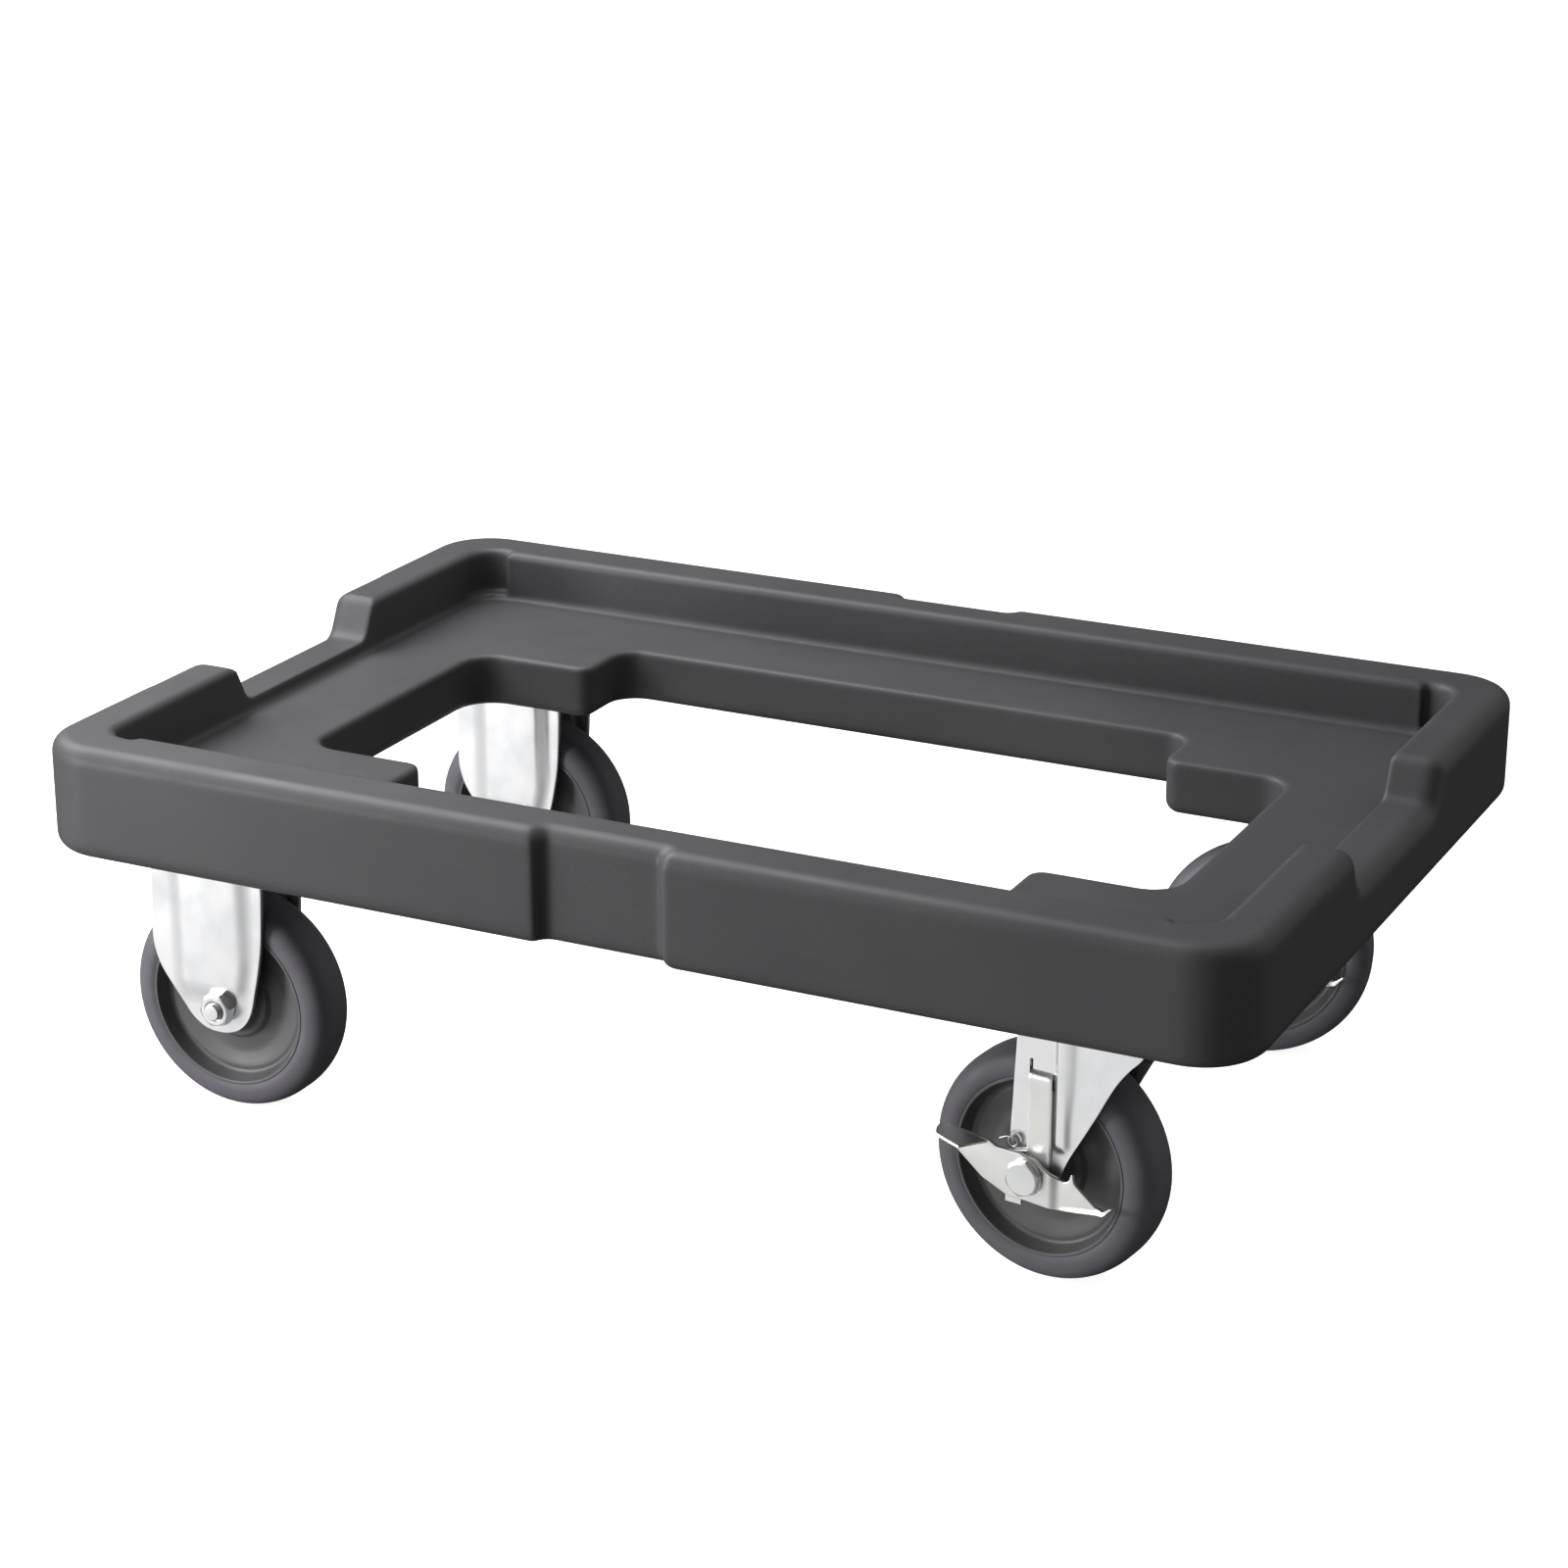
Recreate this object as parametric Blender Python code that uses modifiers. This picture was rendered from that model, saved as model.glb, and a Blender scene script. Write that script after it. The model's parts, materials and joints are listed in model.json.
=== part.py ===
"""Moulded furniture dolly: a plastic deck frame on two rigid and two braked swivel casters.

Metres, +Z up.  +X runs along the length towards the swivel casters, +Y to the left,
and the origin lies on the floor under the centre of the frame.
"""
import math

import bmesh
import bpy
from mathutils import Matrix, Vector

MM = 0.001

# ---- driving dimensions (millimetres) -------------------------------------------------
LENGTH, WIDTH = 688.0, 460.0
FRAME_BOTTOM, FRAME_TOP, DECK = 155.0, 217.5, 187.0
PLAN_RADIUS, EDGE_RADIUS = 36.0, 8.0
POCKET_X, POCKET_Y, POCKET_RADIUS = 314.5, 195.0, 24.0      # half sizes above the deck
RELIEF_X, RELIEF_Y = 294.5, 199.5                           # deeper corners of the pocket
NOTCH_TOP, NOTCH_BOTTOM, NOTCH_Z = 73.0, 62.0, 195.0        # low middle of the end rims
RECESS_OUTER, RECESS_INNER, RECESS_DEPTH = 38.0, 31.0, 7.0  # outer middle of the long sides
OPEN_X, OPEN_Y = 255.0, 92.5                                # opening between the caster pads
OPEN_MID_X, OPEN_MID_Y = 180.0, 137.5                       # its wider middle
OPEN_EDGE = 6.0

CASTER_X, CASTER_Y = 258.5, 163.0
PLATE_X, PLATE_Y, PLATE_T = 105.0, 80.0, 3.0
BOLT_X, BOLT_Y = 40.0, 30.0
PLATE_BOTTOM = FRAME_BOTTOM - 0.3 - PLATE_T
WHEEL_R, TYRE_HALF, CORE_R = 62.5, 16.0, 47.5
TRAIL = 37.0                                                # axle behind the swivel axis
RIGHT_SWIVEL_ANGLE = math.radians(-7.5)
LEFT_SWIVEL_ANGLE = math.radians(14.5)
FIXED_SHIFT = -7.0                                          # rigid plate from its axle
LEG_T = 2.5
CROWN_Z, CROWN_T = 142.5, 3.0
AXLE_R = 5.0
GAP = 0.3

# ---- scene ----------------------------------------------------------------------------
for old in list(bpy.data.objects):
    bpy.data.objects.remove(old, do_unlink=True)

parts = bpy.data.collections.new("furniture_dolly")
cutters = bpy.data.collections.new("cutters")
bpy.context.scene.collection.children.link(parts)
bpy.context.scene.collection.children.link(cutters)


def material(name, color, roughness, metallic):
    mat = bpy.data.materials.new(name)
    mat.use_nodes = True
    shader = mat.node_tree.nodes["Principled BSDF"]
    shader.inputs["Base Color"].default_value = (*color, 1.0)
    shader.inputs["Roughness"].default_value = roughness
    shader.inputs["Metallic"].default_value = metallic
    return mat


PLASTIC = material("moulded_plastic", (0.095, 0.095, 0.10), 0.55, 0.0)
ZINC = material("zinc_plated_steel", (0.78, 0.78, 0.80), 0.28, 1.0)
BOLT_ZINC = material("zinc_fasteners", (0.70, 0.70, 0.72), 0.32, 1.0)
RUBBER = material("grey_tread_rubber", (0.11, 0.105, 0.12), 0.6, 0.0)
CORE = material("grey_wheel_core", (0.10, 0.10, 0.105), 0.5, 0.0)
CAGE = material("roller_cage_plastic", (0.05, 0.05, 0.055), 0.5, 0.0)
STEEL = material("bearing_steel", (0.62, 0.62, 0.64), 0.25, 1.0)


# ---- shape helpers (arguments in millimetres) -------------------------------------------
def add_object(name, mesh, mat=None, parent=None, location=(0, 0, 0)):
    """Link a part, or a cutter when it has no material."""
    obj = bpy.data.objects.new(name, mesh)
    (parts if mat else cutters).objects.link(obj)
    obj.location = Vector(location) * MM
    obj.parent = parent
    if mat:
        if not mesh.materials:
            mesh.materials.append(mat)
    else:
        obj.hide_render = True
        obj.display_type = "WIRE"
    return obj


def finish_mesh(name, bm, smooth=None):
    bmesh.ops.recalc_face_normals(bm, faces=bm.faces[:])
    bmesh.ops.scale(bm, vec=(MM, MM, MM), verts=bm.verts[:])
    mesh = bpy.data.meshes.new(name)
    bm.to_mesh(mesh)
    bm.free()
    if smooth:
        mesh.shade_smooth()
        mesh.set_sharp_from_angle(angle=math.radians(smooth))
    return mesh


def rounded_outline(corners, offset, steps):
    """Anticlockwise (x, y, radius) corners moved outward by offset, as a rounded outline."""
    points = []
    count = len(corners)
    for i, (x, y, radius) in enumerate(corners):
        here = Vector((x, y))
        before = (here - Vector(corners[i - 1][:2])).normalized()
        after = (Vector(corners[(i + 1) % count][:2]) - here).normalized()
        cross = before.x * after.y - before.y * after.x
        turn = math.atan2(cross, before.dot(after))
        out = Vector((before.y, -before.x)) + Vector((after.y, -after.x))
        corner = here + out * (offset / (1.0 + before.dot(after)))
        arc = max(radius + (offset if turn > 0 else -offset), 0.3)
        reach = arc * math.tan(abs(turn) / 2)
        side = 1 if turn > 0 else -1
        start = corner - before * reach
        centre = start + Vector((-before.y, before.x)) * arc * side
        pieces = steps if radius > 6.0 else min(steps, 2)
        for k in range(pieces + 1):
            angle = turn * k / pieces
            spoke = start - centre
            points.append(centre + Matrix.Rotation(angle, 2) @ spoke)
    return points


def stack(name, corners, levels, steps=3, upright=False, smooth=None):
    """Loft a rounded outline through (height, offset) levels.

    Upright stacks stand in the XZ plane, and their heights run towards -Y.
    """
    bm = bmesh.new()
    rings = []
    for height, offset in levels:
        ring = rounded_outline(corners, offset, steps)
        rings.append([bm.verts.new((p.x, p.y, height)) for p in ring])
    for low, high in zip(rings, rings[1:]):
        for i in range(len(low)):
            j = (i + 1) % len(low)
            bm.faces.new((low[i], low[j], high[j], high[i]))
    bm.faces.new(rings[0][::-1])
    bm.faces.new(rings[-1])
    if upright:
        bmesh.ops.rotate(bm, matrix=Matrix.Rotation(math.pi / 2, 3, "X"), verts=bm.verts[:])
    return finish_mesh(name, bm, smooth)


def rectangle(x0, y0, x1, y1, radius):
    return [(x0, y0, radius), (x1, y0, radius), (x1, y1, radius), (x0, y1, radius)]


def sheet(name, rows, thickness, smooth=None):
    """Closed pressed sheet: rows of (x, y, z) points, thickened towards +Y or down."""
    bm = bmesh.new()
    grid = [[bm.verts.new(p) for p in row] for row in rows]
    for a, b in zip(grid, grid[1:]):
        for i in range(len(a) - 1):
            bm.faces.new((a[i], a[i + 1], b[i + 1], b[i]))
    mesh = finish_mesh(name, bm, smooth)
    return mesh, thickness * MM


def solidify(obj, thickness, offset=-1.0):
    mod = obj.modifiers.new("Thickness", "SOLIDIFY")
    mod.thickness = thickness
    mod.offset = offset
    mod.use_even_offset = True


def cylinder(name, radius, z0, z1, segments=16, axis="Z", centre=(0, 0), turn=0.0):
    """Plain cylinder or prism from z0 to z1 along its axis; centre holds the other two."""
    bm = bmesh.new()
    bmesh.ops.create_cone(bm, cap_ends=True, segments=segments, radius1=radius,
                          radius2=radius, depth=z1 - z0,
                          matrix=Matrix.Translation((0, 0, (z0 + z1) / 2)))
    bmesh.ops.rotate(bm, matrix=Matrix.Rotation(turn, 3, "Z"), verts=bm.verts[:])
    if axis == "Y":
        bmesh.ops.rotate(bm, matrix=Matrix.Rotation(-math.pi / 2, 3, "X"), verts=bm.verts[:])
        bmesh.ops.translate(bm, vec=(centre[0], 0, centre[1]), verts=bm.verts[:])
    else:
        bmesh.ops.translate(bm, vec=(centre[0], centre[1], 0), verts=bm.verts[:])
    return finish_mesh(name, bm, 30)


def box(name, x0, x1, y0, y1, z0, z1):
    bm = bmesh.new()
    bmesh.ops.create_cube(bm, size=1.0)
    bmesh.ops.scale(bm, vec=(x1 - x0, y1 - y0, z1 - z0), verts=bm.verts[:])
    bmesh.ops.translate(bm, vec=((x0 + x1) / 2, (y0 + y1) / 2, (z0 + z1) / 2),
                        verts=bm.verts[:])
    return finish_mesh(name, bm)


def turned(name, profile, segments, axis="Z"):
    """Profile of (radius, height) points, run down its outer side and back up its bore."""
    bm = bmesh.new()
    verts = [bm.verts.new((r * MM, 0, h * MM)) for r, h in profile]
    ring = verts if profile[0][0] == 0 else verts + verts[:1]
    for a, b in zip(ring, ring[1:]):
        bm.edges.new((a, b))
    mesh = bpy.data.meshes.new(name)
    bm.to_mesh(mesh)
    bm.free()
    return mesh, segments, axis


def add_turned(name, spec, mat, parent=None, location=(0, 0, 0)):
    mesh, segments, axis = spec
    obj = add_object(name, mesh, mat, parent, location)
    if axis == "Y":
        obj.rotation_euler = (math.pi / 2, 0, 0)
    mod = obj.modifiers.new("Turn", "SCREW")
    mod.steps = segments
    mod.render_steps = segments
    mod.use_merge_vertices = True
    mod.merge_threshold = 0.00001
    mod.use_smooth_shade = True
    return obj


def boolean(obj, tool, operation="DIFFERENCE"):
    mod = obj.modifiers.new(operation.title(), "BOOLEAN")
    mod.operation = operation
    mod.solver = "EXACT"
    mod.object = tool


def empty(name, location, angle=0.0, parent=None):
    obj = bpy.data.objects.new(name, None)
    parts.objects.link(obj)
    obj.location = Vector(location) * MM
    obj.rotation_euler = (0, 0, angle)
    obj.parent = parent
    return obj


def edge_levels(z0, z1, radius, steps=2):
    """Levels of a slab whose bottom and top edges are rounded inward."""
    low, high = [], []
    for k in range(steps + 1):
        angle = math.pi / 2 * k / steps
        inset = radius * (1 - math.sin(angle))
        rise = radius * (1 - math.cos(angle))
        low.append((z0 + rise, -inset))
        high.append((z1 - rise, -inset))
    return low + high[::-1]


def flare(z, radius, steps=2, up=1):
    """Levels that open a cutter outward by radius on reaching height z."""
    levels = []
    for k in range(steps + 1):
        angle = math.pi / 2 * k / steps
        levels.append((z - up * radius * (1 - math.sin(angle)), radius * (1 - math.cos(angle))))
    return levels


# ---- moulded frame ----------------------------------------------------------------------
def mirrored_four(quarter):
    """Quarter outline in the +X +Y corner, repeated anticlockwise round the centre."""
    second = [(-x, y, r) for x, y, r in reversed(quarter)]
    third = [(-x, -y, r) for x, y, r in quarter]
    fourth = [(x, -y, r) for x, y, r in reversed(quarter)]
    return quarter + second + third + fourth


half_x, half_y = LENGTH / 2, WIDTH / 2
outer = mirrored_four([(half_x, half_y, PLAN_RADIUS), (RECESS_OUTER, half_y, 4.0),
                       (RECESS_INNER, half_y - RECESS_DEPTH, 4.0)])
frame = add_object("frame", stack("frame", outer, edge_levels(FRAME_BOTTOM, FRAME_TOP,
                                                              EDGE_RADIUS), 4, smooth=40),
                   PLASTIC)

base_fillet = [(DECK, -6.0), (DECK + 1.8, -1.8), (DECK + 6.0, 0.0)]
rim_flare = flare(FRAME_TOP, 7.0) + [(FRAME_TOP + 10, 7.0)]
pocket = stack("pocket", rectangle(-POCKET_X, -POCKET_Y, POCKET_X, POCKET_Y, POCKET_RADIUS),
               base_fillet + rim_flare, 4)
boolean(frame, add_object("pocket", pocket))

for side in (-1, 1):
    xs = sorted((side * RELIEF_X, side * (POCKET_X - 0.2)))
    radii = (17.0, 0.6) if side < 0 else (0.6, 17.0)
    relief = [(xs[0], -RELIEF_Y, radii[0]), (xs[1], -RELIEF_Y, radii[1]),
              (xs[1], RELIEF_Y, radii[1]), (xs[0], RELIEF_Y, radii[0])]
    levels = [(DECK + 4.0, 0.0)] + rim_flare
    boolean(frame, add_object("relief", stack("relief", relief, levels)))

opening = mirrored_four([(OPEN_X, OPEN_Y, 18.0), (OPEN_MID_X, OPEN_Y, 9.0),
                         (OPEN_MID_X, OPEN_MID_Y, 14.0)])
open_levels = [(FRAME_BOTTOM - 8, EDGE_RADIUS)] + flare(FRAME_BOTTOM, EDGE_RADIUS, up=-1)[::-1]
open_levels += flare(DECK, OPEN_EDGE) + [(DECK + 8, OPEN_EDGE)]
boolean(frame, add_object("opening", stack("opening", opening, open_levels)))

above = FRAME_TOP + 0.3
notch = [(-NOTCH_BOTTOM, NOTCH_Z, 8.0), (NOTCH_BOTTOM, NOTCH_Z, 8.0), (NOTCH_TOP, above, 9.0),
         (120.0, above, 0.5), (120.0, above + 20, 0.5), (-120.0, above + 20, 0.5),
         (-120.0, above, 0.5), (-NOTCH_TOP, above, 9.0)]
notch_mesh = stack("end_notch", notch, [(-half_x - 10, 0), (half_x + 10, 0)], upright=True)
notch_tool = add_object("end_notch", notch_mesh)
notch_tool.rotation_euler = (0, 0, math.pi / 2)
boolean(frame, notch_tool)

caster_seats = [(sx * CASTER_X, sy * CASTER_Y) for sx in (-1, 1) for sy in (-1, 1)]
for cx, cy in caster_seats:
    cx += FIXED_SHIFT if cx < 0 else 0.0
    for bx in (-BOLT_X, BOLT_X):
        for by in (-BOLT_Y, BOLT_Y):
            hole = cylinder("bolt_hole", 4.4, FRAME_BOTTOM - 5, FRAME_BOTTOM + 17, 10,
                            centre=(cx + bx, cy + by))
            boolean(frame, add_object("bolt_hole", hole))


# ---- pieces shared by every caster ------------------------------------------------------
def mounting_bolts(root, label):
    """Four hex screws up through the plate into the frame."""
    for i, (bx, by) in enumerate(((-1, -1), (1, -1), (1, 1), (-1, 1)), start=1):
        head = cylinder("screw", 7.5, PLATE_BOTTOM - GAP - 5.3, PLATE_BOTTOM - GAP, 6,
                        turn=math.pi / 2)
        screw = add_object(f"mount_bolt_{label}_{i}", head, BOLT_ZINC, root,
                           (bx * BOLT_X, by * BOLT_Y, 0))
        shank = cylinder("screw_shank", 3.8, PLATE_BOTTOM - GAP - 1, FRAME_BOTTOM + 15, 10)
        tool = add_object("screw_shank", shank, None, root, (bx * BOLT_X, by * BOLT_Y, 0))
        boolean(screw, tool, "UNION")


def plate_holes(obj, root, centre_hole):
    for bx in (-BOLT_X, BOLT_X):
        for by in (-BOLT_Y, BOLT_Y):
            hole = cylinder("plate_hole", 4.4, 140, 160, 10, centre=(bx, by))
            boolean(obj, add_object("plate_hole", hole, None, root))
    if centre_hole:
        hole = cylinder("kingpin_hole", AXLE_R + 0.5, 135, 160, 20)
        boolean(obj, add_object("kingpin_hole", hole, None, root))


def wheel(axle, prefix, label):
    """Tread, dished core and roller cage, each turned about the axle."""
    tread = [(CORE_R + 0.2, 15.0), (52.0, TYRE_HALF), (57.0, 14.5), (60.6, 11.0),
             (WHEEL_R, 3.5), (WHEEL_R, -3.5), (60.6, -11.0), (57.0, -14.5),
             (52.0, -TYRE_HALF), (CORE_R + 0.2, -15.0)]
    add_turned(f"{prefix}_tyre_{label}", turned("tread", tread, 32, "Y"), RUBBER, axle)
    half = [(15.0, 17.0), (17.0, 6.5), (34.0, 5.0), (42.5, 12.5), (CORE_R - 0.2, 13.5)]
    core = [(10.4, 17.0)] + half + [(r, -h) for r, h in reversed(half)] + [(10.4, -17.0)]
    add_turned(f"{prefix}_wheel_core_{label}", turned("core", core, 26, "Y"), CORE, axle)
    cage = [(10.1, 15.0), (10.1, -15.0), (7.7, -15.0), (7.7, 15.0)]
    add_turned(f"{prefix}_roller_cage_{label}", turned("cage", cage, 16, "Y"), CAGE, axle)


def axle_set(axle, prefix, label, seat, head_y, head_r, tip_y, nut_y):
    """Axle sleeve, bolt and nut; seat is the half distance between the fork legs."""
    sleeve = [(7.4, seat), (7.4, -seat), (AXLE_R + 0.2, -seat), (AXLE_R + 0.2, seat)]
    add_turned(f"{prefix}_axle_sleeve_{label}", turned("sleeve", sleeve, 16, "Y"), STEEL, axle)
    sign = 1 if head_y > 0 else -1
    top = abs(head_y) + 5.0
    bolt = [(0.0, top), (head_r - 1.2, top), (head_r, top - 1.4), (head_r, abs(head_y)),
            (AXLE_R, abs(head_y)), (AXLE_R, -abs(tip_y) + 0.8), (AXLE_R - 0.8, -abs(tip_y)),
            (0.0, -abs(tip_y))]
    shaft = add_turned(f"{prefix}_axle_bolt_{label}", turned("axle_bolt", bolt, 16, "Y"),
                       BOLT_ZINC, axle)
    if sign > 0:
        shaft.rotation_euler = (-math.pi / 2, 0, 0)
    low, high = sorted((nut_y, nut_y + 8.0 * (1 if nut_y > 0 else -1)))
    nut = add_object(f"{prefix}_axle_nut_{label}",
                     cylinder("nut", 9.8, low, high, 6, "Y"), BOLT_ZINC, axle)
    bore = cylinder("nut_bore", AXLE_R + 0.2, low - 1, high + 1, 20, "Y")
    boolean(nut, add_object("nut_bore", bore, None, axle))


# ---- rigid caster -----------------------------------------------------------------------
FIXED_FLANGE, FIXED_PANEL = 20.0, 24.0                       # leg faces from the wheel plane
# height, rear edge and front edge of the leg, edges measured from the axle
FIXED_RAISED = [(153.0, -39.6, 25.6), (141.5, -39.6, 25.6), (138.0, -42.3, 29.6),
                (106.0, -43.3, 27.3), (98.0, -43.4, 26.2), (91.0, -42.7, 25.0),
                (83.0, -40.5, 23.5), (77.5, -37.5, 22.3)]
FIXED_FLAT = [(73.5, -34.4, 21.5), (66.3, -28.8, 20.0), (60.0, -24.5, 18.4),
              (52.8, -19.9, 13.2), (49.5, -14.5, 8.5), (47.2, -9.5, 2.5)]


def fixed_leg_rows():
    """Pressed leg on the -Y side: flanges, raised middle panel, and flat round the axle."""
    rows = []
    for z, rear, front in FIXED_RAISED:
        xs = (rear, -28.5, -25.0, min(17.0, front - 6.5), min(20.5, front - 3.0), front)
        ys = (FIXED_FLANGE, FIXED_FLANGE, FIXED_PANEL, FIXED_PANEL, FIXED_FLANGE, FIXED_FLANGE)
        rows.append([(x, -y, z) for x, y in zip(xs, ys)])
    for z, rear, front in FIXED_FLAT:
        xs = [rear + (front - rear) * f for f in (0, 0.16, 0.24, 0.76, 0.84, 1)]
        rows.append([(x, -FIXED_FLANGE, z) for x in xs])
    return rows[::-1]


def fixed_caster(label, x, y):
    root = empty(f"fixed_caster_{label}", (x, y, 0))
    seat = empty(f"fixed_seat_{label}", (x + FIXED_SHIFT, y, 0))
    axle = empty(f"fixed_axle_{label}", (0, 0, WHEEL_R), parent=root)
    mesh, thickness = sheet("fixed_legs", fixed_leg_rows(), LEG_T, 35)
    fork = add_object(f"fixed_fork_{label}", mesh, ZINC, root)
    solidify(fork, thickness)
    mirror = fork.modifiers.new("Legs", "MIRROR")
    mirror.use_axis = (False, True, False)
    mirror.merge_threshold = 0.00001
    plate = stack("plate", rectangle(-PLATE_X / 2, -PLATE_Y / 2, PLATE_X / 2, PLATE_Y / 2, 7.0),
                  [(PLATE_BOTTOM, 0), (PLATE_BOTTOM + PLATE_T, 0)])
    boolean(fork, add_object("fixed_plate", plate, None, seat), "UNION")
    plate_holes(fork, seat, False)
    bore = cylinder("axle_hole", AXLE_R + 0.3, -40, 40, 20, "Y", (0, WHEEL_R))
    boolean(fork, add_object("axle_hole", bore, None, root))
    wheel(axle, "fixed", label)
    axle_set(axle, "fixed", label, FIXED_FLANGE - LEG_T - GAP, FIXED_FLANGE + GAP, 9.0,
             -31.0, -FIXED_FLANGE - GAP)
    mounting_bolts(seat, f"fixed_{label}")


# ---- braked swivel caster ---------------------------------------------------------------
SWIVEL_LEG, SWIVEL_RIB = 21.0, 22.8                          # leg faces from the wheel plane
# height, rear edge and front edge of the leg, edges measured from the axle
SWIVEL_OUTLINE = [(144.0, -10.2, 61.0), (137.0, -10.5, 58.7), (129.0, -10.8, 51.0),
                  (121.0, -11.2, 45.9), (102.5, -12.1, 35.8), (92.0, -12.6, 30.0),
                  (84.0, -13.0, 25.5)]
SWIVEL_LOWER = [(78.0, -13.1, 22.3), (70.0, -13.3, 18.0), (62.5, -13.0, 15.0),
                (55.0, -11.2, 12.0), (50.5, -7.5, 7.5), (48.8, -2.5, 2.5)]
STRAP_IN, STRAP_T = 21.5, 2.0
STRAP_X0, STRAP_X1 = -2.3, 10.2
BRAKE_TRAVEL = 3.0
PEDAL_IN, PEDAL_OUT = 25.5, 27.8
PEDAL_OUTLINE = [(-38.7, 3.5, 1.5), (-25.5, -6.9, 4), (-10.2, -13.5, 4), (-0.1, -13.5, 4),
                 (18.2, -14.8, 6), (43.2, -10.9, 1.5), (47.3, -4.7, 0.8), (38.8, -8.1, 3),
                 (25.9, 2.1, 2), (24.0, 9.0, 1), (18.7, 4.9, 2), (7.6, 8.8, 3),
                 (-3.6, 12.2, 4), (-17.5, 11.7, 2), (-21.4, 13.9, 1.0), (-51.0, 17.5, 1.0),
                 (-41.6, 7.5, 2)]


def swivel_leg_rows():
    rows = []
    for z, rear, front in SWIVEL_OUTLINE:
        xs = (rear, 11.6, 13.4, 18.0, 19.8, front)
        ys = (SWIVEL_LEG, SWIVEL_LEG, SWIVEL_RIB, SWIVEL_RIB, SWIVEL_LEG, SWIVEL_LEG)
        rows.append([(x - TRAIL, -y, z) for x, y in zip(xs, ys)])
    for z, rear, front in SWIVEL_LOWER:
        xs = [rear + (front - rear) * f for f in (0, 0.66, 0.72, 0.86, 0.92, 1)]
        rows.append([(x - TRAIL, -SWIVEL_LEG, z) for x in xs])
    return rows[::-1]


def swivel_fork(root, label):
    mesh, thickness = sheet("swivel_legs", swivel_leg_rows(), LEG_T, 35)
    fork = add_object(f"swivel_fork_{label}", mesh, ZINC, root)
    solidify(fork, thickness)
    mirror = fork.modifiers.new("Legs", "MIRROR")
    mirror.use_axis = (False, True, False)
    mirror.merge_threshold = 0.00001
    crown = stack("crown", rectangle(-46.0, -SWIVEL_LEG, 33.0, SWIVEL_LEG, 10.0),
                  [(CROWN_Z, 0), (CROWN_Z + CROWN_T, 0)])
    boolean(fork, add_object("crown", crown, None, root), "UNION")
    bore = cylinder("crown_hole", AXLE_R + 0.5, 135, 150, 20)
    boolean(fork, add_object("crown_hole", bore, None, root))
    bore = cylinder("axle_hole", AXLE_R + 0.3, -40, 40, 20, "Y", (-TRAIL, WHEEL_R))
    boolean(fork, add_object("axle_hole", bore, None, root))
    slot = box("strap_slot", STRAP_X0 - 0.9 - TRAIL, STRAP_X1 + 0.9 - TRAIL, -26, -17,
               112.4, 124.4)
    boolean(fork, add_object("strap_slot", slot, None, root))


def swivel_head(root, label):
    plate = stack("top_plate",
                  rectangle(-PLATE_X / 2, -PLATE_Y / 2, PLATE_X / 2, PLATE_Y / 2, 7.0),
                  [(PLATE_BOTTOM, 0), (PLATE_BOTTOM + PLATE_T, 0)])
    top = add_object(f"swivel_top_plate_{label}", plate, ZINC, root)
    skirt = turned("skirt", [(28.5, PLATE_BOTTOM + 1), (28.5, PLATE_BOTTOM - 5),
                             (26.2, PLATE_BOTTOM - 5), (26.2, PLATE_BOTTOM + 1)], 24)
    boolean(top, add_turned("skirt", skirt, None, root), "UNION")
    plate_holes(top, root, True)
    pin = [(0.0, 154.4), (AXLE_R - 0.6, 154.4), (AXLE_R, 153.8), (AXLE_R, 137.3), (15.0, 137.3),
           (15.0, 140.8), (17.0, 140.8), (17.0, 136.4), (15.6, 134.9), (8.5, 134.9),
           (8.5, 132.0), (6.5, 130.8), (0.0, 130.8)]
    add_turned(f"swivel_kingpin_{label}", turned("kingpin", pin, 16), BOLT_ZINC, root)
    for which, major, minor, z in (("upper", 22.3, 2.75, 148.6), ("lower", 11.4, 2.2, 139.85)):
        bm = bmesh.new()
        segments, sides = (26, 6) if which == "upper" else (18, 6)
        rings = []
        for i in range(segments):
            a = 2 * math.pi * i / segments
            ring = []
            for k in range(sides):
                b = 2 * math.pi * k / sides
                r = major + minor * math.cos(b)
                ring.append(bm.verts.new((r * math.cos(a), r * math.sin(a),
                                          z + minor * math.sin(b))))
            rings.append(ring)
        for i in range(segments):
            one, two = rings[i], rings[(i + 1) % segments]
            for k in range(sides):
                n = (k + 1) % sides
                bm.faces.new((one[k], two[k], two[n], one[n]))
        add_object(f"swivel_{which}_ball_ring_{label}", finish_mesh("ball_ring", bm, 60),
                   STEEL, root)


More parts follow.
